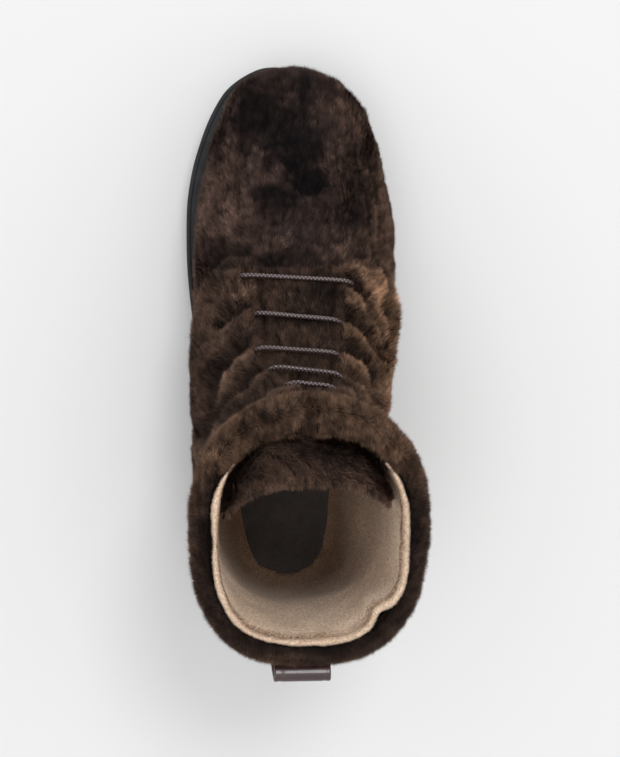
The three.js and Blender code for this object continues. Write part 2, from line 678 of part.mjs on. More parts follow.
// One strap of leather folded into a loop: two legs that meet where they are sewn to the shaft.
function pullLoop() {
  const { width, leather, depth, top, sewn, bottom, x } = LOOP;
  const middle = depth / 2;
  const arc = (radius) =>
    Array.from({ length: 9 }, (_, i) => {
      const angle = (i / 8) * Math.PI;
      return onLoop(middle - radius * Math.cos(angle), top - middle + radius * Math.sin(angle));
    });
  const outline = [
    onLoop(0, bottom),
    ...arc(middle),
    onLoop(depth, sewn + 9),
    onLoop(2 * leather + 1.4, sewn - 1),
    onLoop(2 * leather, bottom),
  ];
  const hollow = [
    onLoop(leather, sewn + 1.5),
    ...arc(middle - leather),
    onLoop(depth - leather, sewn + 9.6),
    onLoop(leather + 1, sewn + 1.5),
  ];
  const sheet = sideProfile(outline, x - width / 2, x + width / 2);
  return sheet.subtract(sideProfile(hollow, x - width, x + width));
}

const inside = insideSolid(28);
const boot = new THREE.Group();
boot.add(
  meshOf('outsole', outsole(), 0x23262b, 0.72),
  meshOf('welt', welt(), 0x2b2f36, 0.6),
  meshOf('insole', insole(inside), 0x3a2a22, 0.65),
  meshOf('upper', upper(inside), 0x34261f, 0.95),
  meshOf('tongue', tongue(), 0x34261f, 0.95),
  meshOf('lace', lace(), 0x4a3a38, 0.4),
  meshOf('pull_loop', pullLoop(), 0x37191c, 0.3),
);

export default boot;
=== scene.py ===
"""A right-foot ankle boot of dark brown shearling with the wool outside, seen from above.

Lengths in this file are in millimetres unless a name ends in _M. +Y runs to the toe, +X to the outer
side of the foot, +Z up, and the origin lies on the floor under the middle of the heel.
"""
import math
from contextlib import contextmanager

import bmesh
import bpy
import numpy as np
from mathutils import Matrix, Vector


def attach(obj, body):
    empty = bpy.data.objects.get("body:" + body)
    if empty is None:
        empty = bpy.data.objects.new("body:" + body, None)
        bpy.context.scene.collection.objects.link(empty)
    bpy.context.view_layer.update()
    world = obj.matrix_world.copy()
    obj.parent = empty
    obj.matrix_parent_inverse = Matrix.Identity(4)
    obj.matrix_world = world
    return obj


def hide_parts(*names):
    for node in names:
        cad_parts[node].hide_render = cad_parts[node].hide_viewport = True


MM = 0.001
IMAGE_WIDTH = 620
FOCAL_PIXELS = 1376  # the photograph's scale: 1.72 pixels per millimetre, 800 mm away
CAMERA_AT = (-59, 81, 800)
CAMERA_AIM = (9, 84, 60)
HIDE_DEPTH = 3.0  # the skin under the pile lies this far inside the boot's outline
FACING_HIDE_DEPTH = 1.2  # the same at the facings' edges and at the collar's inner front
TONGUE_HIDE_DEPTH = 1.4  # and at the tongue
LINING_THICKNESS = 0.8
WELT_THICKNESS = 3.4
WELT_WIDTH = 11
LACE_DIAMETER = 2.4
HOLE_DEPTH = 9.5  # how far down the lace dives at its holes
HIDDEN_BAR = 5  # the row of holes whose bar lies inside the wool, and how deep
HIDDEN_BAR_DEPTH = 8
QUARTER_STEP = 3.2  # how far the quarters stand proud of the vamp
VAMP_ALONE = 8  # ahead of this section there are no quarters
LUG_DEPTH = 4
GROOVE_WIDTH = 4.4
GROOVE_STEP = 15.5
GROOVE_SLANT = math.radians(16)
GROOVES = ((-22, 30), (126, 250))  # from Y to Y under the heel and under the forefoot
GAP = 0.3
LOOP = {
    "x": -3,
    "width": 27,
    "leather": 1.7,
    "depth": 9.4,
    "front": -43.6,
    "lean": 0.17,
    "top": 153,
    "sewn": 122,
    "bottom": 106,
}

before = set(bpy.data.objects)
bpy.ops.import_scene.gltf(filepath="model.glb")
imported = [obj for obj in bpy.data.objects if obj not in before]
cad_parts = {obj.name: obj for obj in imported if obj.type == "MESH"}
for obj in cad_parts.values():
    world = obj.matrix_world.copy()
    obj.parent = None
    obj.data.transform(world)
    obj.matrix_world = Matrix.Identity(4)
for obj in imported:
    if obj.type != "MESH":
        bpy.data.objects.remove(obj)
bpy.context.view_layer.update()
rng = np.random.default_rng(11)


def table(columns, rows):
    """A short table as a dictionary of columns."""
    return dict(zip(columns.split(), np.array(rows, float).T))


# The sole's inner and outer edge and its top and bottom, at each Y.
SOLE = table("y inner outer top bottom", [
    [-40, -9, 9, 28, 0.6],
    [-38.2, -17.5, 17.5, 28, 0.3],
    [-33.5, -26, 26, 28, 0],
    [-25, -33, 33, 28, 0],
    [-12, -37.6, 37.6, 28, 0],
    [4, -40, 40, 28, 0],
    [24, -41.6, 42, 27.8, 0],
    [46, -43.4, 44, 26.6, 0],
    [70, -46, 46.6, 24, 0],
    [95, -49.8, 50, 21, 0],
    [120, -54.2, 53.2, 18.8, 0],
    [145, -56.8, 55.2, 17.6, 0],
    [165, -57.4, 55.2, 17.2, 0],
    [185, -56.8, 52.8, 17.4, 0],
    [203, -53.9, 48.8, 18, 0.5],
    [216, -50.2, 44.6, 19.1, 1.7],
    [228, -45.9, 38.8, 20.4, 3.4],
    [238, -41, 32.2, 21.6, 5],
    [246, -35.8, 24.8, 22.8, 6.6],
    [251.4, -30, 17.2, 23.7, 7.8],
    [256, -22.8, 9.4, 24.5, 9],
    [258.6, -17, 2.6, 25, 9.8],
    [259.8, -11.6, -3.4, 25.2, 10.2],
])

# Sections of the upper from the toe, round the instep, to the collar, each in the plane through its
# front point (fy, fz), its back point (by, bz) and the X axis. inner and outer are its ends in X, at the
# share widest of its depth. nf and nb are the exponents of its curve at the front and back, and ni is
# that of the inside's front. tf, ts and tb are the wall's thickness at the front, sides and back.
UPPER = table("fy fz by bz inner outer widest nf nb ni tf ts tb", [
    [255.6, 41, 255.6, 21, -9.4, 7, 0.5, 2, 2, 2, 6, 6, 6],
    [254.4, 47, 254.4, 16.5, -16.8, 13.8, 0.52, 2.1, 3, 2.1, 6.2, 6, 6],
    [251.8, 52, 251.8, 15.5, -23, 20.8, 0.54, 2.15, 3.6, 2.15, 6.4, 6, 6],
    [247.6, 56.6, 247.6, 14.5, -29.2, 28.4, 0.55, 2.2, 4.2, 2.2, 6.5, 6, 6],
    [240.5, 60.5, 240.5, 13.5, -34, 34.6, 0.55, 2.25, 4.6, 2.25, 6.5, 6, 6],
    [230.5, 64, 230.5, 12, -38.6, 41.6, 0.54, 2.3, 4.8, 2.3, 6.5, 6, 6],
    [216, 67.6, 216, 10.5, -43.6, 48, 0.53, 2.3, 4.8, 2.3, 6.5, 6, 6],
    [198, 70.6, 198, 9.5, -47.8, 52.6, 0.53, 2.3, 4.8, 2.3, 6.5, 6, 6],
    [178, 74, 178, 9, -51.2, 56.6, 0.53, 2.25, 4.8, 2.25, 6.5, 6, 6],
    [161, 77.6, 158, 9, -54.4, 60, 0.53, 2.2, 4.8, 2.2, 6.5, 6, 6],
    [148.5, 81.4, 139, 9.5, -56, 61.4, 0.53, 2.15, 4.6, 2.15, 6.5, 6, 6],
    [137, 85.6, 119, 11, -56.6, 60.6, 0.52, 2.1, 4.4, 2.1, 6.5, 6, 6],
    [125, 90.6, 96, 13, -56.4, 58, 0.51, 2.1, 4.2, 2.1, 6.6, 6, 6],
    [113, 96.8, 71, 16, -56, 54.6, 0.5, 2.1, 4, 2.1, 6.8, 6.2, 6],
    [103, 103.6, 46, 18.5, -55.5, 53, 0.49, 2.1, 3.5, 2.1, 7, 6.4, 6],
    [95, 111.2, 22, 20, -54.8, 51.8, 0.48, 2.1, 3.1, 2.1, 7.4, 6.6, 6],
    [88.6, 119.4, 0, 20, -54, 51, 0.48, 2.1, 2.8, 2.1, 8, 6.8, 6.2],
    [83.8, 128, -20, 20.5, -53.2, 50.6, 0.47, 2.1, 2.6, 2.1, 9.5, 7, 6.5],
    [80.2, 136.8, -34.6, 27, -52.8, 50.4, 0.47, 2.1, 2.5, 2.12, 11, 7.4, 7],
    [77.8, 145, -39.6, 44, -52.8, 50.8, 0.47, 2.1, 2.45, 2.16, 12.5, 8, 7.6],
    [76.6, 151.8, -40.4, 63, -53.2, 51.6, 0.47, 2.12, 2.45, 2.22, 14, 8.8, 8.4],
    [76.2, 157, -41, 83, -53.8, 52.6, 0.47, 2.14, 2.45, 2.28, 15.2, 9.6, 9.4],
    [76.2, 161.2, -43.4, 103, -54.8, 53.8, 0.47, 2.16, 2.5, 2.36, 16.5, 10.4, 10.4],
    [76.4, 164.4, -46.2, 121, -55.8, 54.9, 0.465, 2.18, 2.55, 2.44, 17.8, 11.2, 11.2],
    [76.6, 167, -49.2, 138, -56.5, 55.8, 0.465, 2.2, 2.6, 2.52, 19, 11.8, 12],
    [76.8, 169, -51.8, 152, -56.7, 56.1, 0.465, 2.2, 2.6, 2.6, 20, 12, 12.4],
])
TOP = len(UPPER["fy"]) - 1

# The rounded top of the collar: how far in from the last section, and how far above it.
RIM = table("inset rise", [[0, 0], [0.9, 2.4], [3, 4.3], [6, 5], [10, 4.4], [15, 2.4], [23, -2]])

# The lace holes of each row: the section and the X of the inner and of the outer one.
ROWS = table("inner_at outer_at hole_inner hole_outer", [
    [10.85, 11.2, -34.5, 33],
    [12.5, 13, -33.5, 31],
    [14.3, 14.85, -32, 28.5],
    [15.8, 16.5, -26.5, 28],
    [17.8, 18.4, -20, 24.5],
    [20, 20.4, -14.5, 21],
])

THROAT_START = 10.35
CLOSED_FROM = 19.7  # from this section up the wool of the two facings meets
# The edges of the opening between the facings.
THROAT = table("section inner outer", [
    [10.3, -14, 14],
    [10.45, -19, 19.5],
    [11.1, -20.4, 20.6],
    [12.75, -18.6, 18.6],
    [14.5, -19, 15.8],
    [16.15, -12.6, 16],
    [18.1, -6.4, 11.4],
    [20.2, -1.2, 8],
    [22.8, -1.6, 4.2],
    [TOP, -3.8, 1.2],
])

# The front edge of the quarters, by the length round the upper from the middle of the instep.
QUARTER_EDGE = table("girth y", [
    [0, 133],
    [18, 141],
    [28, 147],
    [40, 147],
    [50, 141.5],
    [59, 132],
    [68, 118],
    [80, 100],
    [98, 84],
    [140, 76],
])

# The tongue: how far behind the upper's inside it lies, its edges, its wool between the facings, how
# thick its sheet is, how far its inner edge folds back, its wool inside the collar, and how much of the
# section's curve it follows.
TONGUE = table("section behind inner outer wool sheet fold pile curve", [
    [10.1, 0.4, -21, 21, 0, 2.6, 0, 0, 1],
    [10.4, 0.4, -25, 24.5, 0, 2.8, 0, 0, 1],
    [10.7, 0.5, -28.5, 27.5, 4.2, 3, 0, 0, 1],
    [12.75, 0.8, -28.3, 25.6, 4.8, 3, 0, 0, 1],
    [14.5, 1.6, -27.2, 23.2, 5.8, 3.2, 0, 0, 1],
    [15.5, 6.2, -26.4, 24.4, 10, 3.8, 0, 0, 1],
    [16.1, 6.9, -29, 27.6, 11, 4.2, 0, 0, 1],
    [17.6, 8, -34, 33, 8, 5, 0, 0, 1],
    [19.4, 12, -37.5, 36, 3, 5.4, 1, 5.4, 0.95],
    [20.5, 14.6, -38.6, 37, 0, 5, 2, 8.6, 0.9],
    [21.5, 16, -39.4, 37.8, 0, 5, 2, 12.4, 0.86],
    [22.6, 17, -40, 38.2, 0, 4.6, 2.5, 14.5, 0.8],
    [23.6, 18, -40.6, 38.6, 0, 4.4, 3, 12, 0.74],
    [24.4, 18.6, -41, 39, 0, 4.2, 3, 7, 0.7],
    [24.9, 19.4, -39.6, 37.6, 0, 3, 3, 1.5, 0.7],
])

TONGUE_START, TONGUE_END = 10.45, 24.9

# The rounded edge of a facing: how far it stands back from the throat, and how deep it lies.
FACING_EDGE = table("share back dip", [
    [0, 5.2, 0],
    [0.15, 4, 0.2],
    [0.3, 2, 1.2],
    [0.5, 0.4, 3.6],
    [1, 0, 0],
])

# Creases in the upper, as lines of (x, y) seen from above, with their depth, half width and lowest height.
CREASES = [
    (5.0, 3.6, 62, [(-21.8, 103.7), (-35.2, 95.8), (-41.9, 90.1), (-47.3, 68)]),
    (5.2, 3.2, 62, [(-14, 91.1), (-27, 82.3), (-41, 71.3), (-52.2, 53)]),
    (4.4, 2.9, 62, [(-8, 82.2), (-20.6, 78.3), (-29.9, 73), (-42, 63.3)]),
    (3.8, 3.0, 62, [(-20.1, 121.2), (-33.1, 119), (-42.9, 112.3)]),
    (5.2, 3.0, 62, [(19.5, 115.6), (32.7, 109.2), (40, 104.2), (46.7, 93.8)]),
    (5.4, 3.0, 62, [(16.8, 98.9), (26.7, 97), (36.9, 90), (40.5, 80.2)]),
    (5.2, 2.8, 62, [(16.4, 87.6), (28.1, 82.2), (38, 72.8), (47.6, 64.6)]),
    (4.6, 2.5, 62, [(11.9, 80.3), (21.6, 76.9), (32.2, 68.6), (45.9, 59.1)]),
    (5.2, 2.8, 62, [(27, 137), (30.6, 131.8), (36.3, 125), (38.4, 116.2)]),
    (3.0, 2.2, 55, [(39.4, 123.4), (46.3, 107.6), (50, 90.2), (51, 75), (53.2, 60.7)]),
    (2.6, 2.2, 50, [(44.5, 150), (50.5, 128), (53, 107), (54, 92)]),
    (2.4, 1.8, 30, [(41, 205), (45.5, 188), (48.5, 168), (49, 146)]),
    (2.2, 1.6, 30, [(36, 192), (41, 176), (43.5, 158), (42, 141)]),
]

# Soft folds in the lining's edge, and where it sags low down: their places seen from above, how far in
# they push and how wide they are.
LINING_FOLDS = table("x y depth width", [
    [33, -27, 4.2, 6],
    [42, -12, -1.4, 9],
    [-44, 8, 1.0, 14],
    [-30, -32, -1.0, 12],
])
LINING_SAGS = table("x y depth width", [[34, 12, 11, 34], [-32, -2, 6, 22]])

# Where each bar of the lace sinks into the wool of the facings.
LACE_SINKS = table("section inner outer", [
    [10.5, -28, 27],
    [11.3, -28, 27],
    [12.75, -20.5, 20.5],
    [14.5, -21, 17.8],
    [16.15, -13, 18.5],
    [18.1, -6, 13.4],
    [20.2, -2.5, 8],
])
PUFF = 3.2  # how far the wool of the facings swells over the lace's ends
CORNER_Y = 43  # behind this the collar shows its lining, and ahead of it wool
WEDGE = (-1, 27)  # the dark gap between tongue and collar, from X to X


def column(rows, key, x, name):
    return np.interp(x, rows[key], rows[name])


def column_of(name, place):
    """One column of UPPER at any places."""
    return np.interp(place, np.arange(TOP + 1), UPPER[name])


def smooth(t):
    t = np.clip(t, 0, 1)
    return t * t * (3 - 2 * t)


def bell(x):
    return np.exp(-(x**2))


def unit(v):
    return v / np.maximum(np.linalg.norm(v, axis=-1, keepdims=True), 1e-9)


def section_at(place):
    """The sections at any places between the rows of UPPER, on a smooth curve through them."""
    place = np.asarray(place, float)
    i = np.clip(np.floor(place).astype(int), 0, TOP - 1)
    t = place - i
    found = {}
    for name, values in UPPER.items():
        a, b, c, d = (values[np.clip(i + k, 0, TOP)] for k in (-1, 0, 1, 2))
        found[name] = 0.5 * (
            2 * b + (c - a) * t + (2 * a - 5 * b + 4 * c - d) * t**2 + (3 * b - 3 * c + d - a) * t**3
        )
    return found


def inside_of(s):
    """The same sections taken in by the wall's thickness, for the inside of the upper."""
    front, side, back = s["tf"], s["ts"], s["tb"]
    length = section_length(s)
    dy, dz = (s["by"] - s["fy"]) / length, (s["bz"] - s["fz"]) / length
    toe = side * smooth((s["fy"] - 215) / 35)
    return {
        **s,
        "nf": s["ni"],
        "fy": s["fy"] + dy * front - toe,
        "fz": s["fz"] + dz * front,
        "by": s["by"] - dy * back - toe,
        "bz": s["bz"] - dz * back,
        "inner": s["inner"] + side,
        "outer": s["outer"] - side,
    }


def point_on(s, turn):
    """Points on sections: turn runs from the front by the outer side (0.25) to the back (0.5) and on."""
    angle = turn * 2 * np.pi
    cos, sin = np.cos(angle), np.sin(angle)
    front = cos >= 0
    power = 2 / np.where(front, s["nf"], s["nb"])
    across = np.abs(sin) ** power
    ahead = np.abs(cos) ** power
    depth = np.where(front, s["widest"] * (1 - ahead), s["widest"] + (1 - s["widest"]) * ahead)
    middle, half = middle_and_half(s)
    x = middle + np.sign(sin) * half * across
    y = s["fy"] + (s["by"] - s["fy"]) * depth
    z = s["fz"] + (s["bz"] - s["fz"]) * depth
    return np.stack(np.broadcast_arrays(x, y, z), -1)


def section_length(s):
    return np.hypot(s["by"] - s["fy"], s["bz"] - s["fz"])


def middle_and_half(s):
    return (s["inner"] + s["outer"]) / 2, (s["outer"] - s["inner"]) / 2


def depth_at(s, x):
    """How far behind its front point a section's front half lies at x."""
    middle, half = middle_and_half(s)
    share = np.minimum(0.999, np.abs(x - middle) / half)
    return section_length(s) * s["widest"] * (1 - (1 - share ** s["nf"]) ** (1 / s["nf"]))


def point_behind(s, x, depth):
    share = depth / section_length(s)
    y = s["fy"] + (s["by"] - s["fy"]) * share
    z = s["fz"] + (s["bz"] - s["fz"]) * share
    return np.stack(np.broadcast_arrays(x, y, z), -1)


def sole_top(y):
    return column(SOLE, "y", y, "top")


def tread(y):
    return column(SOLE, "y", y, "bottom")


def welt_seat(y):
    return sole_top(y) - WELT_THICKNESS


LATTICE = np.random.default_rng(3).random((32, 32, 32))


def noise(p, scale, seed=0):
    """Smooth value noise from 0 to 1 at points p, with features of about the given size."""
    q = p / scale + seed * 7.31
    cell = np.floor(q).astype(int)
    f = smooth(q - cell)
    total = 0
    for corner in np.ndindex(2, 2, 2):
        share = np.where(np.array(corner) == 1, f, 1 - f).prod(axis=-1)
        i, j, k = ((cell[..., axis] + corner[axis]) % 32 for axis in range(3))
        total = total + share * LATTICE[i, j, k]
    return total


def cell_random(i, j, channel):
    """A repeatable random number from 0 to 1 for each cell of a lattice."""
    h = (i * 73856093) ^ (j * 19349663) ^ (channel * 83492791)
    h = h & 0xFFFFFFFF
    h = ((h ^ (h >> 13)) * 1274126177) & 0xFFFFFFFF
    return ((h ^ (h >> 16)) & 0xFFFFFF) / 16777216.0


def tufts(u, v, size, stretch, channel):
    """The nearest tuft to places on a sheet: the steps to its middle, how near its border, its number."""
    x, y = u / size, v / (size * stretch)
    i, j = np.floor(x).astype(np.int64), np.floor(y).astype(np.int64)
    nearest = np.full(x.shape, 9.0)
    second = nearest.copy()
    dx, dy, number = np.zeros(x.shape), np.zeros(x.shape), np.zeros(x.shape)
    for di in (-1, 0, 1):
        for dj in (-1, 0, 1):
            ci, cj = i + di, j + dj
            tx = ci + 0.1 + 0.8 * cell_random(ci, cj, channel) - x
            ty = cj + 0.1 + 0.8 * cell_random(ci, cj, channel + 1) - y
            away = np.hypot(tx, ty)
            closer = away < nearest
            second = np.where(closer, nearest, np.minimum(second, away))
            dx, dy = np.where(closer, tx, dx), np.where(closer, ty, dy)
            number = np.where(closer, cell_random(ci, cj, channel + 2), number)
            nearest = np.where(closer, away, nearest)
    return dx * size, dy * size * stretch, smooth(1 - (second - nearest) / 0.4), number


def near_line(x, y, line):
    """The distance in plan from points to a line of (x, y) corners."""
    best = np.full(np.shape(x), 1e9)
    for (ax, ay), (bx, by) in zip(line, line[1:]):
        dx, dy = bx - ax, by - ay
        t = np.clip(((x - ax) * dx + (y - ay) * dy) / (dx * dx + dy * dy), 0, 1)
        best = np.minimum(best, np.hypot(x - ax - t * dx, y - ay - t * dy))
    return best


class Sheet:
    """A curved sheet: a grid of points with outward normals and ways of saying where each point is.

    place counts the upper's sections, turn goes round them, u and v are lengths across and along the
    sheet, and shade is how light its wool is: painted light and shade for its creases, dips and edges, with
    some of its tone.
    """

    def __init__(self, points, place, turn, flip=False, closed=False):
        self.points = points
        normals = unit(np.cross(np.gradient(points, axis=0), np.gradient(points, axis=1)))
        self.normals = -normals if flip else normals
        self.place = np.broadcast_to(place, points.shape[:2])
        self.turn = np.broadcast_to(turn, points.shape[:2])
        self.v = run_length(points, 0)
        self.u = run_length(points, 1)
        if closed:
            self.u = np.where(self.turn > 0.5, self.u - self.u[:, -1:], self.u)
            ends = unit(self.normals[:, 0] + self.normals[:, -1])
            self.normals[:, 0] = self.normals[:, -1] = ends
        self.shade = np.ones(points.shape[:2])
        self.away = np.zeros(points.shape[:2])


def run_length(points, axis):
    steps = np.linalg.norm(np.diff(points, axis=axis), axis=2)
    return np.concatenate([np.zeros_like(steps.take([0], axis)), np.cumsum(steps, axis=axis)], axis=axis)


def crease_shape(points):
    """How deep in a crease, and how high on the soft ridges beside it, points of the face lie."""
    x, y, z = points[..., 0], points[..., 1], points[..., 2]
    wander = 5 * (noise(points, 14, 31) - 0.5)
    trough, ridge = np.zeros(x.shape), np.zeros(x.shape)
    for depth, width, low, line in CREASES:
        away = near_line(x + wander * 0.5, y + wander, line)
        upward = depth * smooth((z - low) / 22)
        trough = np.maximum(trough, upward * bell(away / width))
        ridge = np.maximum(ridge, upward * bell((away - 2.3 * width) / (1.3 * width)))
    return trough, ridge


def sink_shape(points, place):
    """The swelling of the facings' wool over the ends of the lace, from 0 to 1."""
    x = points[..., 0]
    along = smooth((place - 10.4) / 0.5) * (1 - smooth((place - 20.6) / 1.2)) * (points[..., 1] > 40)
    inner = column(LACE_SINKS, "section", place, "inner") - x
    outer = x - column(LACE_SINKS, "section", place, "outer")
    beyond = np.maximum(inner, outer)
    swell = smooth((beyond + 0.5) / 2.5) * (1 - smooth((beyond - 9) / 9))
    return along * swell * (0.75 + 0.5 * noise(points, 8, 33))


def valley(x, place):
    """The dip between the two facings above the laces, where their wool meets."""
    inner, outer = throat_edges(place)
    return 2.8 * bell((x - (inner + outer) / 2) / 3.4) * smooth((place - 19.8) / 0.8)


def outer_sheet(rows, columns):
    """The outer face of the upper with its relief, from a cap on the toe's tip to the collar."""
    place = np.linspace(0, TOP, rows)[:, None]
    turn = np.linspace(0, 1, columns)[None, :]
    points = point_on(section_at(place), turn)
    tip = points[:1]
    middle = tip.mean(axis=1, keepdims=True)
    cap_rings = 8
    cap = np.linspace(0.05, 0.95, cap_rings)[:, None, None]
    bulge = np.array([0, 1.2, 0]) * (1 - cap**2)
    points = np.concatenate([middle + (tip - middle) * cap + bulge, points])
    place = np.concatenate([np.zeros((cap_rings, 1)), place])
    sheet = Sheet(points, place, turn, closed=True)
    girth = np.abs(sheet.u)
    y, z = points[..., 1], points[..., 2]

    foot = 1 - smooth((sheet.place - VAMP_ALONE) / 1.5)
    edge = column(QUARTER_EDGE, "girth", girth, "y") + 2.5 * (noise(points, 12, 30) - 0.5)
    ahead = np.where(sheet.place > 16, -99, y - edge)
    quarter = smooth(0.5 - ahead / 3.5)
    out = -QUARTER_STEP * (1 - quarter) * (1 - foot)
    beside = bell((ahead + 8) / 7) * (sheet.place > 8.5) * smooth((girth - 14) / 10)
    out = out + 2.4 * beside * (0.3 + 0.7 * smooth(points[..., 0] / 20))
    trough, ridge = crease_shape(points)
    out = out - trough + 0.35 * ridge
    out = out + PUFF * sink_shape(points, sheet.place)
    out = out + 2.0 * (noise(points, 23, 1) - 0.5) + 1.5 * (noise(points, 9, 2) - 0.5)
    dip = valley(points[..., 0], sheet.place)
    out = out - dip
    out = out * smooth((z - sole_top(y) - 3) / 9)
    wall = np.minimum(column_of("ts", sheet.place), column_of("tf", sheet.place))
    out = np.maximum(out, HIDE_DEPTH + 0.6 - wall - slack(sheet.place, sheet.turn))
    made = Sheet(points + sheet.normals * out[..., None], place, turn, closed=True)
    # Painted light and shade in the wool: painted shadow just ahead of the quarters' edge, painted shade in
    # the creases and in the dip between the facings, and painted light on the ridges and on the swell
    # beside the edge.
    under_edge = bell((ahead - 2.6) / 2.6) * (sheet.place > 8.5) * smooth((girth - 6) / 10)
    dim = (1 - 0.16 * dip) * (y > 0) + (y <= 0)
    made.shade = dim * (1 - 0.14 * trough) * (1 + 0.07 * ridge)
    made.shade = made.shade * (1 - 0.55 * under_edge) * (1 + 0.12 * beside)
    return made


def rim_sheet(rows, columns):
    """The rounded top of the collar, from the outer face to the edge of the lining."""
    s = section_at(np.full((1, 1), float(TOP)))
    turn = np.linspace(0, 1, columns)[None, :]
    outside = point_on(s, turn)
    inside = point_on(inside_of(s), turn)
    width = np.linalg.norm(inside - outside, axis=2)
    share = (np.linspace(0, 1, rows) ** 1.5)[:, None]
    points = outside + (inside - outside) * share[..., None]
    away = share * width
    points[..., 2] += np.interp(away, RIM["inset"], RIM["rise"])
    points[..., 2] += 2.2 * (noise(points, 13, 4) - 0.5) * smooth(away / 4)
    x, y = points[..., 0], points[..., 1]
    dip = valley(x, TOP)
    points[..., 2] -= dip * (y > 0)
    sheet = Sheet(points, TOP, turn, closed=True)
    sheet.away = away
    sheet.width = np.broadcast_to(width, away.shape)
    # Painted light and shade on the rim's wool: lighter along the outer edge at the sides and back, painted
    # shade towards the lining there and in the dip between the facings, and a front that grows lighter
    # towards each side.
    front = smooth((y - 20) / 30)
    lift = 0.46 + 0.8 * smooth((-20 - x) / 18) + 0.22 * smooth((x - 20) / 18)
    sheet.shade = 0.5 + lift * front + 0.5 * bell(away / 3) * (1 - front)
    sheet.shade = sheet.shade * (1 - 0.5 * smooth((away - 6) / 5) * (1 - front))
    sheet.shade = sheet.shade * (1 - 0.16 * dip * front)
    return sheet


def front_wall_sheet(rows, columns):
    """The inner side of the two facings at the collar's front, which is covered in wool."""
    place = np.linspace(TOP, 18.5, rows)[:, None]
    turn = np.linspace(-0.17, 0.17, columns)[None, :]
    sheet = Sheet(point_on(inside_of(section_at(place)), turn), place, turn)
    # Painted shade: the wool on the collar's inner front is made dark, for the shadow down there.
    sheet.shade = np.full(sheet.shade.shape, 0.2)
    return sheet


def slack(place, turn):
    """How far the lining of the forefoot hangs clear of the wall, which leaves the creases room."""
    ahead = smooth((np.cos(2 * np.pi * turn) + 0.5) / 0.6)
    return 3.6 * ahead * (1 - smooth((place - 14) / 4))


def dents(rows, points):
    """How far the soft round dents in a table push points in."""
    total = 0
    for x, y, depth, width in zip(*rows.values()):
        total = total + depth * bell(np.hypot(points[..., 0] - x, points[..., 1] - y) / width)
    return total


def lining_sheet(rows, columns):
    """The lining with its rolled top edge."""
    place = np.linspace(3, TOP, rows)[:, None]
    turn = np.linspace(0, 1, columns)[None, :]
    wall = point_on(inside_of(section_at(place)), turn)
    core = wall.mean(axis=1, keepdims=True)
    wall = wall + unit(core - wall) * (0.9 + slack(place, turn))[..., None]
    out = unit((wall[-1] - wall[-1].mean(axis=0)) * np.array([1, 1, 0]))
    roll = [(0, 1.0), (0.15, 2.2), (0.5, 3.3), (1.1, 4.2), (2.0, 4.6), (2.8, 4.0), (3.1, 3.0)]
    narrow = 0.25 + 0.75 * smooth((CORNER_Y + 4 - wall[-1, :, 1:2]) / 26)
    lip = [wall[-1] + (out * away + np.array([0, 0, up])) * narrow for away, up in roll]
    points = np.concatenate([wall, np.stack(lip)])
    place = np.concatenate([place, np.full((len(roll), 1), float(TOP))])
    near_top = smooth((points[..., 2] - 95) / 50)
    low_down = bell((points[..., 2] - 45) / 28)
    push = dents(LINING_FOLDS, points) * near_top + dents(LINING_SAGS, points) * low_down
    points = points - out * push[..., None]
    sheet = Sheet(points, place, turn, flip=True, closed=True)
    ripple = 1.2 * (noise(points, 17, 21) - 0.5) + 0.6 * (noise(points, 6, 22) - 0.5)
    sheet.points = points + sheet.normals * ripple[..., None]
    return sheet


def lining_mask(sheet):
    """Where the lining shows: not in the throat, nor on the wool-faced front of the collar."""
    y, z = sheet.points[..., 1], sheet.points[..., 2]
    front = (sheet.place > 15) & (y > CORNER_Y + 1.5 * np.sin(z / 5))
    under = z < sole_top(y) + 0.5
    ahead = in_throat(sheet, 3, 0.9) & (sheet.place < 11)
    return ~front & ~under & ~ahead & ~in_throat(sheet, 0.5)


def throat_edges(place):
    return column(THROAT, "section", place, "inner"), column(THROAT, "section", place, "outer")


def in_throat(sheet, margin, shift=0.0):
    """Whether a sheet's points lie in the opening between the facings, moved by shift sections."""
    x, place = sheet.points[..., 0], sheet.place + shift
    inner, outer = throat_edges(place)
    ahead = (sheet.turn < 0.25) | (sheet.turn > 0.75)
    return ahead & (place > THROAT_START) & (x > inner - margin) & (x < outer + margin)


def flap_sheet(side, rows, columns):
    """The rounded edge of one facing, from the outer face down to the lining."""
    place = np.linspace(10.5, TOP, rows)[:, None]
    share = np.linspace(0, 1, columns)[None, :]
    s = section_at(place)
    inner, outer = throat_edges(place)
    edge, sign = (inner, -1) if side == "inner" else (outer, 1)
    back, dip = (column(FACING_EDGE, "share", share, name) for name in ("back", "dip"))
    widest, deepest = FACING_EDGE["back"].max(), FACING_EDGE["dip"].max()
    wall = np.maximum(s["tf"] - 1, 4)
    depth = np.where(share <= 0.5, dip, deepest + (wall - deepest) * (share - 0.5) * 2)
    points = point_behind(s, edge + sign * back, depth_at(s, edge + sign * widest) + depth)
    points[..., 2] += smooth((place - 24.2) / 0.8) * 4 * (1 - share)
    sheet = Sheet(points, place, share, flip=(side == "outer"))
    # Painted shade: the facing's edge darkens down towards the lining.
    sheet.shade = 0.85 - 0.35 * smooth(share * 1.6) + 0 * place
    return sheet


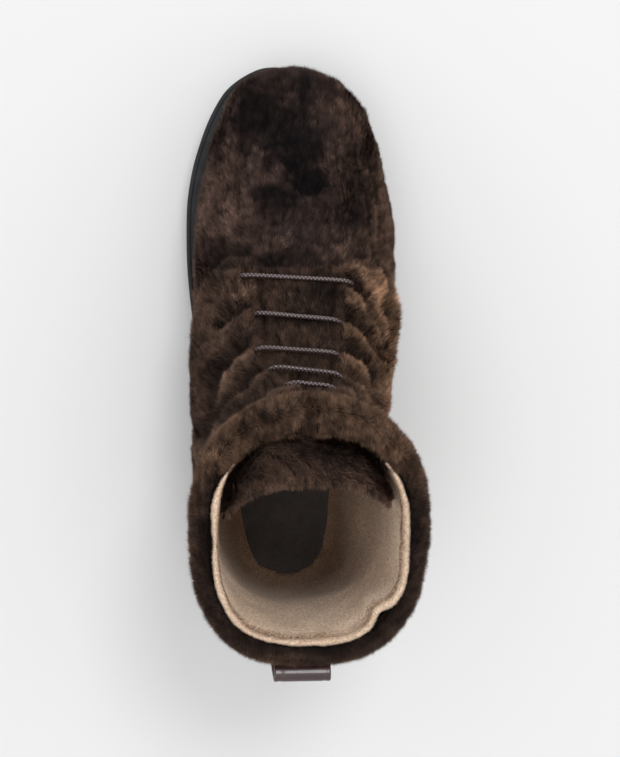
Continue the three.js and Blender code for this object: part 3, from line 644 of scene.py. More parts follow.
def tongue_sheet(rows, columns, back=False):
    """The woolly face of the tongue, or its back."""
    place = np.linspace(TONGUE_START, TONGUE_END, rows)[:, None]
    share = np.linspace(0, 1, columns)[None, :]
    s = inside_of(section_at(place))
    at = {name: column(TONGUE, "section", place, name) for name in TONGUE}
    x = at["inner"] + (at["outer"] - at["inner"]) * share
    inner, outer = throat_edges(place)
    wool = at["wool"] * smooth((x - inner + 2.2) / 2.5) * smooth((outer + 2.2 - x) / 2.5)
    reach = np.where(x < 0, at["inner"], at["outer"])
    pile = at["pile"] * (1 - (x / reach) ** 6) * (1.16 - 0.46 * smooth((x + 6) / 14))
    fold = at["fold"] * np.clip(x / at["inner"], 0, 1) ** 3
    depth = at["curve"] * depth_at(s, x) + at["behind"] + fold + (at["sheet"] if back else -wool - pile)
    points = point_behind(s, x, depth)
    if not back:
        soft = smooth((place - 17) / 3)
        points[..., 2] += soft * 2.4 * (noise(points, 15, 40) - 0.5)
    sheet = Sheet(points, place, share, flip=back)
    # Painted shade beside the facings' edges; the wool is lighter along the top.
    beside = 1 - 0.35 * bell((x - inner) / 2.5) - 0.35 * bell((x - outer) / 2.5)
    top = smooth((place - 24.1) / 0.6)
    sheet.shade = 0.68 * np.where(place < 20, beside, 1) + 0.3 * top
    return sheet


def tongue_edge_sheet():
    """The strip round the tongue's top edge, from its woolly face over to its back."""
    columns = 300
    face, back = tongue_sheet(70, columns), tongue_sheet(70, columns, back=True)
    share = np.linspace(0, 1, 7)[:, None, None]
    points = face.points[-1] + (back.points[-1] - face.points[-1]) * share
    points[..., 2] += 1.2 * np.sin(np.pi * share[..., 0])
    return Sheet(points, TONGUE_END, np.linspace(0, 1, columns)[None, :])


def new_object(name, data):
    made = bpy.data.objects.new(name, data)
    bpy.context.scene.collection.objects.link(made)
    return made


def new_mesh(name, points, faces, smooth_faces=True):
    mesh = bpy.data.meshes.new(name)
    mesh.from_pydata((np.asarray(points) * MM).tolist(), [], faces)
    mesh.update()
    if smooth_faces:
        mesh.shade_smooth()
    return new_object(name, mesh)


@contextmanager
def editing(piece):
    """A piece's mesh opened as a bmesh, and written back at the end."""
    bm = bmesh.new()
    bm.from_mesh(piece.data)
    yield bm
    bm.to_mesh(piece.data)
    bm.free()


def tidy_normals(piece):
    with editing(piece) as bm:
        bmesh.ops.recalc_face_normals(bm, faces=bm.faces)


def grid_faces(shape, keep, flip=False):
    """The faces of the kept cells of a grid."""
    i, j = np.nonzero(keep)
    a = i * shape[1] + j
    quad = np.stack([a, a + 1, a + shape[1] + 1, a + shape[1]], 1)
    return quad[:, ::-1] if flip else quad


def cell_mask(mask):
    """Cells whose four corners are all in the mask."""
    return mask[:-1, :-1] & mask[1:, :-1] & mask[:-1, 1:] & mask[1:, 1:]


def all_cells(points):
    return np.ones((points.shape[0] - 1, points.shape[1] - 1), bool)


def join(name, sheets):
    """One mesh from sheets of (points, faces)."""
    points, faces, start = [], [], 0
    for sheet_points, sheet_faces in sheets:
        flat = sheet_points.reshape(-1, 3)
        points.append(flat)
        faces.append(sheet_faces + start)
        start += len(flat)
    piece = new_mesh(name, np.concatenate(points), np.concatenate(faces).tolist())
    with editing(piece) as bm:
        bmesh.ops.remove_doubles(bm, verts=bm.verts, dist=0.02 * MM)
        loose = [v for v in bm.verts if not v.link_faces]
        bmesh.ops.delete(bm, geom=loose, context="VERTS")
    return piece


# Materials


class Nodes:
    """Builds a material's nodes with short calls."""

    def __init__(self, name):
        self.material = bpy.data.materials.new(name)
        self.material.use_nodes = True
        self.tree = self.material.node_tree
        self.shader = self.tree.nodes["Principled BSDF"]

    def add(self, kind, **settings):
        node = self.tree.nodes.new(kind)
        for key, value in settings.items():
            if key in node.inputs.keys():
                node.inputs[key].default_value = value
            else:
                setattr(node, key, value)
        return node

    def link(self, a, b):
        self.tree.links.new(a, b)

    def coordinates(self):
        return self.add("ShaderNodeTexCoord").outputs["Object"]

    def noise(self, scale, detail=2.0, rough=0.5, at=None):
        node = self.add("ShaderNodeTexNoise", Scale=scale, Detail=detail, Roughness=rough)
        self.link(at or self.coordinates(), node.inputs["Vector"])
        return node.outputs["Fac"]

    def ramp(self, value, stops):
        node = self.add("ShaderNodeValToRGB")
        ramp = node.color_ramp
        while len(ramp.elements) < len(stops):
            ramp.elements.new(0.5)
        for element, (at, colour) in zip(ramp.elements, stops):
            element.position = at
            element.color = (*colour, 1)
        self.link(value, node.inputs["Fac"])
        return node.outputs["Color"]

    def multiply(self, a, b):
        node = self.add("ShaderNodeMix", data_type="RGBA", blend_type="MULTIPLY")
        node.inputs[0].default_value = 1
        self.link(a, node.inputs[6])
        self.link(b, node.inputs[7])
        return node.outputs[2]

    def math(self, operation, a, b=0.0):
        node = self.add("ShaderNodeMath", operation=operation)
        for socket, value in enumerate((a, b)):
            if isinstance(value, bpy.types.NodeSocket):
                self.link(value, node.inputs[socket])
            else:
                node.inputs[socket].default_value = value
        return node.outputs[0]

    def bump(self, height, strength, distance_mm):
        node = self.add("ShaderNodeBump", Strength=strength, Distance=distance_mm * MM)
        self.link(height, node.inputs["Height"])
        self.link(node.outputs["Normal"], self.shader.inputs["Normal"])

    def colour(self, socket):
        self.link(socket, self.shader.inputs["Base Color"])

    def colour_from_mesh(self):
        self.colour(self.add("ShaderNodeAttribute", attribute_name="tint").outputs["Color"])

    def roughness(self, value, low, high):
        stops = [(0.3, (low,) * 3), (0.7, (high,) * 3)]
        self.link(self.ramp(value, stops), self.shader.inputs["Roughness"])

    def set(self, **values):
        for name, value in values.items():
            self.shader.inputs[name.replace("_", " ")].default_value = value


def pile_material(name):
    """Wool: the colour of each lock comes with the mesh, with painted shade darker at the root."""
    n = Nodes(name)
    n.colour_from_mesh()
    n.set(Roughness=0.65, Sheen_Weight=0.07, Sheen_Roughness=0.4, Sheen_Tint=(0.9, 0.55, 0.38, 1))
    n.set(Specular_IOR_Level=0.08)
    return n.material


def hide_material():
    n = Nodes("hide_under_pile")
    n.colour(n.ramp(n.noise(260, 4, 0.6), [(0.3, (0.004, 0.003, 0.0025)), (0.7, (0.011, 0.007, 0.0055))]))
    n.set(Roughness=0.95, Specular_IOR_Level=0.05)
    n.bump(n.noise(900, 3), 0.6, 0.5)
    return n.material


def lining_material():
    """Tan brushed lining with a heathered fleck, and painted shade that darkens it towards the footbed."""
    n = Nodes("lining_felt")
    at = n.coordinates()
    broad = n.ramp(n.noise(38, 3, 0.55, at), [(0.3, (0.7, 0.52, 0.385)), (0.72, (0.93, 0.74, 0.57))])
    height = n.add("ShaderNodeSeparateXYZ")
    n.link(at, height.inputs["Vector"])
    low = n.math("DIVIDE", height.outputs["Z"], 0.17)
    # Painted shade: the lining darkens lower down inside the boot, where less light reaches.
    painted_low_shade = n.ramp(low, [(0.22, (0.42, 0.36, 0.32)), (0.62, (1, 1, 1))])
    fleck = n.ramp(n.noise(900, 3, 0.8, at), [(0.36, (0.6, 0.56, 0.53)), (0.62, (1.24, 1.23, 1.21))])
    n.colour(n.multiply(n.multiply(broad, fleck), painted_low_shade))
    n.set(Roughness=0.95, Sheen_Weight=0.15, Specular_IOR_Level=0.15)
    relief = n.math("ADD", n.noise(620, 5, 0.7, at), n.math("MULTIPLY", n.noise(60, 3, 0.5, at), 1.6))
    n.bump(relief, 0.8, 0.7)
    return n.material


def rubber_material(name, dark, light):
    n = Nodes(name)
    at = n.coordinates()
    n.colour(n.ramp(n.noise(90, 5, 0.65, at), [(0.3, dark), (0.75, light)]))
    n.roughness(n.noise(300, 4, 0.6, at), 0.5, 0.72)
    n.set(Specular_IOR_Level=0.35)
    n.bump(n.noise(1500, 4, 0.6, at), 0.35, 0.3)
    return n.material


def leather_material(name, dark, light, rough, grain):
    n = Nodes(name)
    at = n.coordinates()
    n.colour(n.ramp(n.noise(120, 5, 0.6, at), [(0.3, dark), (0.72, light)]))
    n.roughness(n.noise(240, 4, 0.6, at), rough, rough + 0.14)
    pores = n.add("ShaderNodeTexVoronoi", Scale=grain, feature="DISTANCE_TO_EDGE")
    n.link(at, pores.inputs["Vector"])
    n.bump(n.math("MINIMUM", pores.outputs["Distance"], 0.25), 0.35, 0.35)
    return n


def cord_material():
    n = Nodes("waxed_cord")
    n.colour_from_mesh()
    n.set(Roughness=0.36, Specular_IOR_Level=0.6)
    n.bump(n.noise(2600, 3), 0.3, 0.12)
    return n.material


def floor_material():
    n = Nodes("studio_floor")
    n.colour(n.ramp(n.noise(4, 2), [(0.3, (0.8, 0.8, 0.8)), (0.7, (0.81, 0.81, 0.81))]))
    n.set(Roughness=0.95, Specular_IOR_Level=0.1)
    return n.material


# The pile

# Patches of the vamp where the wool is painted darker or lighter, seen from above: partly the pile's own
# tone and partly painted light and shade where the nap faces the light or turns from it, darkest on the
# toe's top;
# the patch at Y 145 is a painted shadow across the front of the throat.
PATCHES = table("x y rx ry gain", [
    [-10, 224, 25, 23, 0.24],
    [2, 206, 19, 18, 0.2],
    [-12, 197, 8, 8, 0.36],
    [11, 188, 11, 11, 0.2],
    [-11, 179, 13, 6, 0.27],
    [36, 179, 9, 17, 0.42],
    [39, 203, 9, 9, 0.5],
    [-2, 145, 24, 6, 0.36],
    [18, 241, 8, 12, 0.5],
    [-38, 150, 9, 9, 0.55],
    [-17, 204, 3.5, 9, 1.5],
    [-17, 189, 7, 5, 1.45],
    [1, 157, 12, 9, 1.35],
    [20, 150, 10, 7, 1.4],
    [6, 221, 8, 6, 1.3],
    [26, 226, 12, 16, 1.35],
    [31, 139, 8, 6, 1.5],
    [17, 128, 7, 5, 0.5],
    [2, 113, 14, 4, 0.4],
    [-31, 128, 12, 7, 1.3],
    [46, 155, 5, 34, 1.35],
    [-38, 172, 14, 26, 1.8],
    [-44, 200, 8, 22, 1.25],
    [0, 168, 22, 14, 0.75],
    [-4, 252, 26, 9, 0.7],
])
# How many strands each piece of wool is scattered with.
STRANDS = {
    "pile_vamp": 195000,
    "pile_inner_side": 165000,
    "pile_outer_side": 165000,
    "pile_collar": 85000,
    "pile_front_wall": 9000,
    "pile_flap_inner": 13000,
    "pile_flap_outer": 13000,
    "pile_tongue": 75000,
    "pile_tongue_edge": 5500,
    "lining_nap": 26000,
}
# The cooler and the warmer brown of the wool, and the tan of the lining.
COOL = np.array([0.06, 0.0365, 0.0292])
WARM = np.array([0.123, 0.07, 0.0415])
TAN = np.array([0.58, 0.445, 0.335])


def patch_gain(points):
    """The painted dark and light patches of the vamp, with ragged borders."""
    x, y = points[..., 0], points[..., 1]
    ragged = 1.2 * (noise(points, 10, 41) - 0.5) + 0.9 * (noise(points, 3.6, 42) - 0.5)
    dark, light = np.zeros(x.shape), np.zeros(x.shape)
    for px, py, rx, ry, gain in zip(*PATCHES.values()):
        field = bell(np.hypot((x - px) / rx, (y - py) / ry)) + ragged * 0.55
        spot = smooth((field - 0.22) / 0.46)
        if gain < 1:
            dark = np.maximum(dark, spot * (1 - gain))
        else:
            light = np.maximum(light, spot * (gain - 1))
    return (1 - dark) * (1 + light)


def pile_gain(spots):
    """Lightness of the pile over the boot, from its patches, from soft noise and from the painted light and
    shade its sheets carry.
    """
    p = spots["points"]
    top = smooth((p[:, 2] - 40) / 14)
    gain = 1 + (patch_gain(p) - 1) * top
    soft = (0.55 + 0.9 * noise(p, 15, 5)) * (0.55 + 0.9 * noise(p, 5, 6)) * (0.7 + 0.6 * noise(p, 2.4, 7))
    return np.clip(gain, 0.15, 1.8) * soft * spots["shade"]


def scatter(name, sheet, keep):
    """Evenly spread random places for a piece's strands on the kept cells of a sheet."""
    count = STRANDS[name]
    p = sheet.points
    du = p[:-1, 1:] - p[:-1, :-1]
    dv = p[1:, :-1] - p[:-1, :-1]
    area = np.linalg.norm(np.cross(du, dv), axis=2) * keep
    total = np.cumsum(area.ravel())
    pick = (np.arange(count) + rng.random(count)) / count * total[-1]
    cell = np.minimum(np.searchsorted(total, pick), area.size - 1)
    i, j = np.unravel_index(cell, area.shape)
    a, b = rng.random((2, count))

    def blend(values):
        a_, b_ = (a[:, None], b[:, None]) if values.ndim == 3 else (a, b)
        low = values[i, j] * (1 - b_) + values[i, j + 1] * b_
        high = values[i + 1, j] * (1 - b_) + values[i + 1, j + 1] * b_
        return low * (1 - a_) + high * a_

    names = ("points", "place", "turn", "u", "v", "shade", "away")
    spots = {name: blend(getattr(sheet, name)) for name in names}
    spots["normals"] = unit(blend(sheet.normals))
    spots["along"] = unit(dv[i, j])
    spots["across"] = unit(du[i, j])
    return spots


def grow_pile(
    name, spots, colour, length=4.9, root=HIDE_DEPTH, width=0.36, lean=0.85, turned=0, roots=0.16,
    contrast=1.0, **kind
):
    """A mesh of wool, each strand one thin leaning triangle, from scattered spots.

    Strands gather in small wisps within larger tufts. turned is the direction of the nap: 0 is back
    along the sheet's rows, and a quarter turn is across it. roots is how light the strands start, and
    contrast is how much they differ; tips come out 1.3 times as light, so lower roots paint shade deep in
    the pile.
    """
    p, n, along, across = (spots[key] for key in ("points", "normals", "along", "across"))
    count = len(p)
    warp_u, warp_v = 7 * (noise(p, 12, 8) - 0.5), 9 * (noise(p, 15, 9) - 0.5)
    u, v = spots["u"] + warp_u, spots["v"] + warp_v
    wisp_u, wisp_v, _, wisp = tufts(u, v, 1.25, 2.6, 11)
    tuft_u, tuft_v, border, tuft = tufts(u, v, 4.6, 1.9, 21)

    swirl = turned + 2.2 * (noise(p, 24, 10) - 0.5) + 0.8 * (tuft - 0.5) + 0.35 * rng.standard_normal(count)
    nap = -along * np.cos(swirl)[:, None] + across * np.sin(swirl)[:, None]
    tilt = lean * (0.75 + 0.5 * noise(p, 13, 12)) + 0.25 * (tuft - 0.5) + 0.12 * rng.standard_normal(count)
    tilt = np.clip(tilt, 0.05, 1.3)[:, None]
    reach = length * (0.9 - 0.12 * border + 0.14 * (wisp - 0.5) + 0.1 * rng.standard_normal(count))
    aim = unit(n * np.cos(tilt) + nap * np.sin(tilt))
    base = p - n * root
    tips = base + aim * np.maximum(reach, 0.4)[:, None]
    tips = tips + across * (0.5 * wisp_u + 0.08 * tuft_u)[:, None]
    tips = tips + along * (0.3 * wisp_v + 0.06 * tuft_v)[:, None]
    aim = unit(tips - base)
    twist = rng.uniform(-1.0, 1.0, count)[:, None]
    flat = unit(np.cross(aim, n) + 1e-4)
    flat = unit(flat * np.cos(twist) + np.cross(aim, flat) * np.sin(twist))
    half = flat * (width / 2 * rng.uniform(0.7, 1.3, count))[:, None]
    corners = np.stack([base - half, base + half, tips], 1).reshape(-1, 3)

    # Strands at a tuft's border are darker, painted shade in the partings between tufts. Each strand runs
    # from roots times its tone at the base to 1.3 times at the tip; for the wool the dark base is painted
    # shade deep in the pile.
    tone = np.exp(0.36 * rng.standard_normal(count)) * (0.5 + 1.0 * wisp) * (0.84 + 0.32 * tuft)
    tone = colour * (np.minimum(tone * (1 - 0.32 * border), 2.4) ** contrast)[:, None]
    tint = np.stack([tone * roots, tone * roots, tone * 1.3], 1).reshape(-1, 3)
    shade = unit(n + 0.5 * aim + 0.2 * rng.standard_normal((count, 3)))
    return strand_mesh(name, corners, tint, np.repeat(shade, 3, axis=0), spots, **kind)


def strand_mesh(name, corners, tint, normals, spots, material, slot):
    count = len(corners) // 3
    mesh = bpy.data.meshes.new(name)
    mesh.vertices.add(3 * count)
    mesh.vertices.foreach_set("co", (corners * MM).astype(np.float32).ravel())
    mesh.loops.add(3 * count)
    mesh.loops.foreach_set("vertex_index", np.arange(3 * count, dtype=np.int32))
    mesh.polygons.add(count)
    mesh.polygons.foreach_set("loop_start", np.arange(0, 3 * count, 3, dtype=np.int32))
    mesh.update(calc_edges=True)
    layer = mesh.attributes.new("tint", "FLOAT_COLOR", "POINT")
    rgba = np.concatenate([tint, np.ones((3 * count, 1))], 1).astype(np.float32)
    layer.data.foreach_set("color", rgba.ravel())
    bands = 64
    band = np.floor(spots["place"] / (TOP + 0.01) * bands) / bands
    v = band[:, None] + np.array([0.1, 0.1, 0.9]) / bands
    u = np.repeat((spots["turn"] % 1.0)[:, None], 3, axis=1)
    bake = mesh.uv_layers.new(name="OFBake")
    bake.data.foreach_set("uv", np.stack([u, v], 2).astype(np.float32).ravel())
    mesh.shade_smooth()
    mesh.normals_split_custom_set_from_vertices(normals.tolist())
    return dress(new_object(name, mesh), material, slot)


def colours(spots, warm):
    warm = np.broadcast_to(warm, spots["place"].shape)[:, None]
    gain = pile_gain(spots)[:, None]
    return (COOL + (WARM - COOL) * warm) * gain + np.array([0, 0.0012, 0.0034])


def pile_mask(sheet):
    """Where wool grows on the outer face."""
    p = sheet.points
    low = p[..., 2] < sole_top(p[..., 1]) + 1.2
    beside_loop = np.abs(p[..., 0] - LOOP["x"]) < LOOP["width"] / 2 + 1
    seat = beside_loop & (p[..., 1] < 0) & (p[..., 2] > LOOP["bottom"] - 1) & (p[..., 2] < LOOP["sewn"] + 6)
    open_throat = in_throat(sheet, 4.4, 0.5 * noise(p, 6, 35) - 0.55) & (sheet.place < CLOSED_FROM)
    return ~low & ~seat & ~open_throat


# Curves and sweeps


def mix(t, start, end, a, b):
    """The blend at t of a, which holds at start, and b, which holds at end."""
    return (end - t) / (end - start) * a + (t - start) / (end - start) * b


def spline(points, per_segment, closed=False):
    """Points along a centripetal curve through the given ones."""
    p = np.asarray(points, float)
    if closed:
        p = np.concatenate([p[-1:], p, p[:2]])
    else:
        p = np.concatenate([2 * p[:1] - p[1:2], p, 2 * p[-1:] - p[-2:-1]])
    made = []
    for i in range(1, len(p) - 2):
        a, b, c, d = p[i - 1 : i + 3]
        t0 = 0
        t1 = t0 + max(np.linalg.norm(b - a) ** 0.5, 1e-4)
        t2 = t1 + max(np.linalg.norm(c - b) ** 0.5, 1e-4)
        t3 = t2 + max(np.linalg.norm(d - c) ** 0.5, 1e-4)
        t = np.linspace(t1, t2, per_segment, endpoint=False)[:, None]
        first, second, third = mix(t, t0, t1, a, b), mix(t, t1, t2, b, c), mix(t, t2, t3, c, d)
        early, late = mix(t, t0, t2, first, second), mix(t, t1, t3, second, third)
        made.append(mix(t, t1, t2, early, late))
    if not closed:
        made.append(p[-2:-1])
    return np.concatenate(made)


def resample(points, spacing):
    step = np.linalg.norm(np.diff(points, axis=0), axis=1)
    length = np.concatenate([[0], np.cumsum(step)])
    at = np.linspace(0, length[-1], max(2, int(round(length[-1] / spacing)) + 1))
    return np.stack([np.interp(at, length, points[:, k]) for k in range(3)], 1), at


def sweep_frames(path):
    """Two steady side directions along a path."""
    tangent = unit(np.gradient(path, axis=0))
    sides = [unit(np.cross(tangent[0], [0.3, 0.2, 1.0]))]
    for k in range(1, len(path)):
        sides.append(unit(sides[-1] - tangent[k] * np.dot(sides[-1], tangent[k])))
    sides = np.array(sides)
    return sides, np.cross(tangent, sides)


def ring_faces(rows, around):
    """The faces between rings of points, with both ends closed."""
    faces = []
    for i in range(rows - 1):
        for j in range(around):
            k = (j + 1) % around
            faces.append((i * around + j, (i + 1) * around + j, (i + 1) * around + k, i * around + k))
    faces.append(tuple(range(around)))
    faces.append(tuple(range((rows - 1) * around, rows * around))[::-1])
    return faces


def sole_outline(per_segment):
    """The sole's plan outline as smooth points with outward normals."""
    inner = np.stack([SOLE["inner"], SOLE["y"]], 1)
    outer = np.stack([SOLE["outer"], SOLE["y"]], 1)[::-1]
    line = spline(np.concatenate([inner, outer]), per_segment, closed=True)
    ahead = np.roll(line, -1, axis=0) - np.roll(line, 1, axis=0)
    return line, unit(np.stack([-ahead[:, 1], ahead[:, 0]], 1))


def sole_stack(name, levels, per_segment, hollow=False):
    """A solid that follows the sole's outline. Each level is an inset and a height at each Y."""
    line, normal = sole_outline(per_segment)
    rings = []
    for distance, height in levels:
        flat = line - normal * distance
        rings.append(np.stack([flat[:, 0], flat[:, 1], height(line[:, 1])], 1))
    if hollow:
        rings.append(rings[0])
    faces = ring_faces(len(rings), len(line))
    piece = new_mesh(name, np.concatenate(rings), faces[:-2] if hollow else faces)
    if hollow:
        with editing(piece) as bm:
            bmesh.ops.remove_doubles(bm, verts=bm.verts, dist=0.001 * MM)
    tidy_normals(piece)
    return piece


def cut(piece, cutter):
    """Cuts one joined cutter from a piece."""
    modifier = piece.modifiers.new("cut", "BOOLEAN")
    modifier.operation = "DIFFERENCE"
    modifier.solver = "EXACT"
    modifier.object = cutter
    depsgraph = bpy.context.evaluated_depsgraph_get()
    mesh = bpy.data.meshes.new_from_object(piece.evaluated_get(depsgraph))
    piece.modifiers.clear()
    whole = piece.data
    piece.data = mesh
    bpy.data.meshes.remove(whole)
    bpy.data.objects.remove(cutter)


def dress(piece, material, slot, *nodes):
    piece.data.materials.clear()
    piece.data.materials.append(material)
    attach(piece, "root")
    if nodes:
        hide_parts(*nodes)
    return piece


# Pieces

# Side profiles of the sole and of the welt: how far in from the outline, at each share of the height.
SOLE_SIDE = table("inset share", [
    [3.2, 0],
    [2.2, 0.02],
    [1.5, 0.07],
    [1.15, 0.14],
    [0.95, 0.28],
    [0.9, 0.42],
    [1.1, 0.455],
    [1.9, 0.48],
    [2.3, 0.51],
    [2.3, 0.57],
    [1.9, 0.6],
    [1, 0.63],
    [0.8, 0.66],
    [0.8, 0.92],
    [1, 0.975],
    [1.5, 1],
])
WELT_SIDE = table("inset share", [
    [WELT_WIDTH, 0],
    [0.9, 0],
    [0.35, 0.06],
    [0, 0.2],
    [0, 0.7],
    [0.25, 0.88],
    [0.8, 0.98],
    [1.4, 1],
    [2.2, 0.985],
    [2.6, 0.9],
    [3, 0.985],
    [3.6, 1],
    [WELT_WIDTH, 1],
])


def side_levels(side, low, high):
    """Levels for sole_stack from a side profile between two heights."""

    def level(inset, share):
        return inset, lambda y: low(y) + (high(y) - low(y)) * share

    return [level(inset, share) for inset, share in zip(side["inset"], side["share"])]


def build_outsole():
    levels = side_levels(SOLE_SIDE, tread, lambda y: welt_seat(y) - GAP)
    piece = sole_stack("outsole_rubber", levels, 4)
    cutters = [arch_cutter()]
    past = 12  # how far a groove's cutter reaches past the edge of the sole
    for low, high in GROOVES:
        for y in np.arange(low, high + 0.1, GROOVE_STEP):
            inner, outer = column(SOLE, "y", y, "inner"), column(SOLE, "y", y, "outer")
            length = min(34, (outer - inner) / 2 - 11)
            cutters.append(groove(inner + length / 2 - past / 2, y, length + past, GROOVE_SLANT))
            cutters.append(groove(outer - length / 2 + past / 2, y, length + past, -GROOVE_SLANT))
    points, faces, start = [], [], 0
    for corners, sides in cutters:
        points.append(corners)
        faces += [tuple(k + start for k in side) for side in sides]
        start += len(corners)
    cutter = new_mesh("cutter", np.concatenate(points), faces, False)
    tidy_normals(cutter)
    cut(piece, cutter)
    piece.data.shade_smooth()
    piece.data.set_sharp_from_angle(angle=math.radians(32))
    rubber = rubber_material("sole_rubber", (0.007, 0.0075, 0.0085), (0.017, 0.018, 0.02))
    return dress(piece, rubber, "sole_rubber", "outsole")


def arch_cutter():
    """The space under the arch, between the heel's breast and the forefoot."""
    side = [(42, -1), (43.5, 8.5), (64, 7.5), (90, 2.4), (112, 0), (112, -1)]
    points = [(x, y, z) for x in (-90, 90) for y, z in side]
    count = len(side)
    walls = [(i, (i + 1) % count, (i + 1) % count + count, i + count) for i in range(count)]
    return np.array(points, float), [tuple(range(count)), tuple(range(count, 2 * count))[::-1], *walls]


def groove(x, y, length, angle):
    rise = tread(y + 4) - tread(y - 4)
    signs = [(a, b, c) for a in (-1, 1) for b in (-1, 1) for c in (-1, 1)]
    turn = Matrix.Rotation(math.atan2(rise, 8), 4, "X") @ Matrix.Rotation(angle, 4, "Z")
    corners = [turn @ Vector((a * length / 2, b * GROOVE_WIDTH / 2, c * LUG_DEPTH)) for a, b, c in signs]
    faces = [(0, 1, 3, 2), (4, 6, 7, 5), (0, 4, 5, 1), (2, 3, 7, 6), (0, 2, 6, 4), (1, 5, 7, 3)]
    return np.array(corners) + np.array([x, y, tread(y)]), faces


def build_welt():
    piece = sole_stack("welt_rubber", side_levels(WELT_SIDE, welt_seat, sole_top), 6, hollow=True)
    piece.data.set_sharp_from_angle(angle=math.radians(60))
    rubber = rubber_material("welt_rubber", (0.009, 0.0095, 0.011), (0.024, 0.025, 0.028))
    return dress(piece, rubber, "welt_rubber", "welt")


def build_hide():
    """The skin under the wool: outer face, rim, the edges of the facings and the collar's inner front."""
    outer = outer_sheet(140, 180)
    y, z = outer.points[..., 1], outer.points[..., 2]
    keep = ~in_throat(outer, 3, -0.2)
    low = z < sole_top(y) + 0.3
    covered = ~cell_mask(low)
    skin = outer.points - outer.normals * HIDE_DEPTH
    skin[..., 2] = np.maximum(skin[..., 2], sole_top(skin[..., 1]) + 0.35)
    sheets = [(skin, grid_faces(skin.shape, cell_mask(keep) & covered, flip=True))]

    rim = rim_sheet(9, 180)
    top = rim.points - rim.normals * HIDE_DEPTH
    top[0] = skin[-1]
    closed = cell_mask(~in_throat(rim, 2))
    sheets.append((top, grid_faces(top.shape, closed, flip=True)))

    for side in ("inner", "outer"):
        flap = flap_sheet(side, 60, 8)
        edge = flap.points - flap.normals * FACING_HIDE_DEPTH
        sheets.append((edge, grid_faces(edge.shape, all_cells(edge), flip=side == "inner")))

    wall = front_wall_sheet(20, 60)
    face = wall.points - wall.normals * FACING_HIDE_DEPTH
    sheets.append((face, grid_faces(face.shape, cell_mask(front_wall_mask(wall)), flip=True)))
    return dress(join("upper_hide", sheets), hide_material(), "wool_pile", "upper")


def front_wall_mask(sheet):
    """Where the collar's inner front is covered in wool: beside the throat and ahead of the lining."""
    inner, outer = throat_edges(sheet.place)
    x, y = sheet.points[..., 0], sheet.points[..., 1]
    return (y > CORNER_Y - 2) & ~((x > inner) & (x < outer))


def build_lining():
    sheet = lining_sheet(110, 200)
    p = sheet.points
    piece = join("lining", [(p, grid_faces(p.shape, cell_mask(lining_mask(sheet))))])
    dress(piece, lining_material(), "lining_felt")
    thick = piece.modifiers.new("cloth", "SOLIDIFY")
    thick.thickness = LINING_THICKNESS * MM
    thick.offset = -1


def build_tongue():
    face, back = tongue_sheet(70, 40), tongue_sheet(70, 40, back=True)
    front = face.points - face.normals * TONGUE_HIDE_DEPTH
    sheets = [
        (front, grid_faces(front.shape, all_cells(front), flip=True)),
        (back.points, grid_faces(front.shape, all_cells(front))),
    ]

    def border(p):
        return np.concatenate([p[:, 0], p[-1, :], p[::-1, -1], p[0, ::-1]])

    edge = np.stack([border(front), border(back.points)])
    sheets.append((edge, grid_faces(edge.shape, all_cells(edge), flip=True)))
    return dress(join("tongue_hide", sheets), hide_material(), "wool_pile", "tongue")


def lace_route():
    over, under = LACE_DIAMETER / 2 + 0.8, LACE_DIAMETER / 2 + 1.7

    def on_face(section, x, depth):
        s = section_at(section)
        return point_behind(s, x, depth_at(s, x) + depth)

    def behind(section, x):
        s = inside_of(section_at(section))
        return point_behind(s, x, depth_at(s, x) + under)

    def bar(row):
        r = {name: values[row] for name, values in ROWS.items()}
        hidden = HIDDEN_BAR_DEPTH if row == HIDDEN_BAR else 0

        def at(x, depth, sink=0):
            share = (x - r["hole_inner"]) / (r["hole_outer"] - r["hole_inner"])
            spot = on_face(r["inner_at"] + (r["outer_at"] - r["inner_at"]) * share, x, depth + hidden)
            return spot - np.array([0, 0, sink])

        inner = column(LACE_SINKS, "section", r["inner_at"], "inner")
        outer = column(LACE_SINKS, "section", r["outer_at"], "outer")
        start, end = at(inner + 2, -over - 0.3), at(outer - 2, -over - 0.3)
        middle = at((inner + outer) / 2, -over)
        return [
            at(r["hole_inner"], 0, HOLE_DEPTH),
            at(inner - 4, 0, 7),
            at(inner - 0.6, -over * 0.8, 0.6),
            start,
            0.2 * middle + 0.4 * (start + end),
            end,
            at(outer + 0.6, -over * 0.8, 0.6),
            at(outer + 4, 0, 7),
            at(r["hole_outer"], 0, HOLE_DEPTH),
        ]

    def link(start, end, side):
        a, b = (ROWS[f"{side}_at"][k] for k in (start, end))
        xa, xb = (ROWS[f"hole_{side}"][k] for k in (start, end))
        return [behind(a + (b - a) * t, xa + (xb - xa) * t) for t in (0, 0.25, 0.5, 0.75, 1)]

    return np.array([
        *bar(4)[::-1], *link(4, 2, "inner"), *bar(2), *link(2, 0, "outer"), *bar(0)[::-1],
        *link(0, 1, "inner"), *bar(1), *link(1, 3, "outer"), *bar(3)[::-1], *link(3, 5, "inner"), *bar(5),
    ])


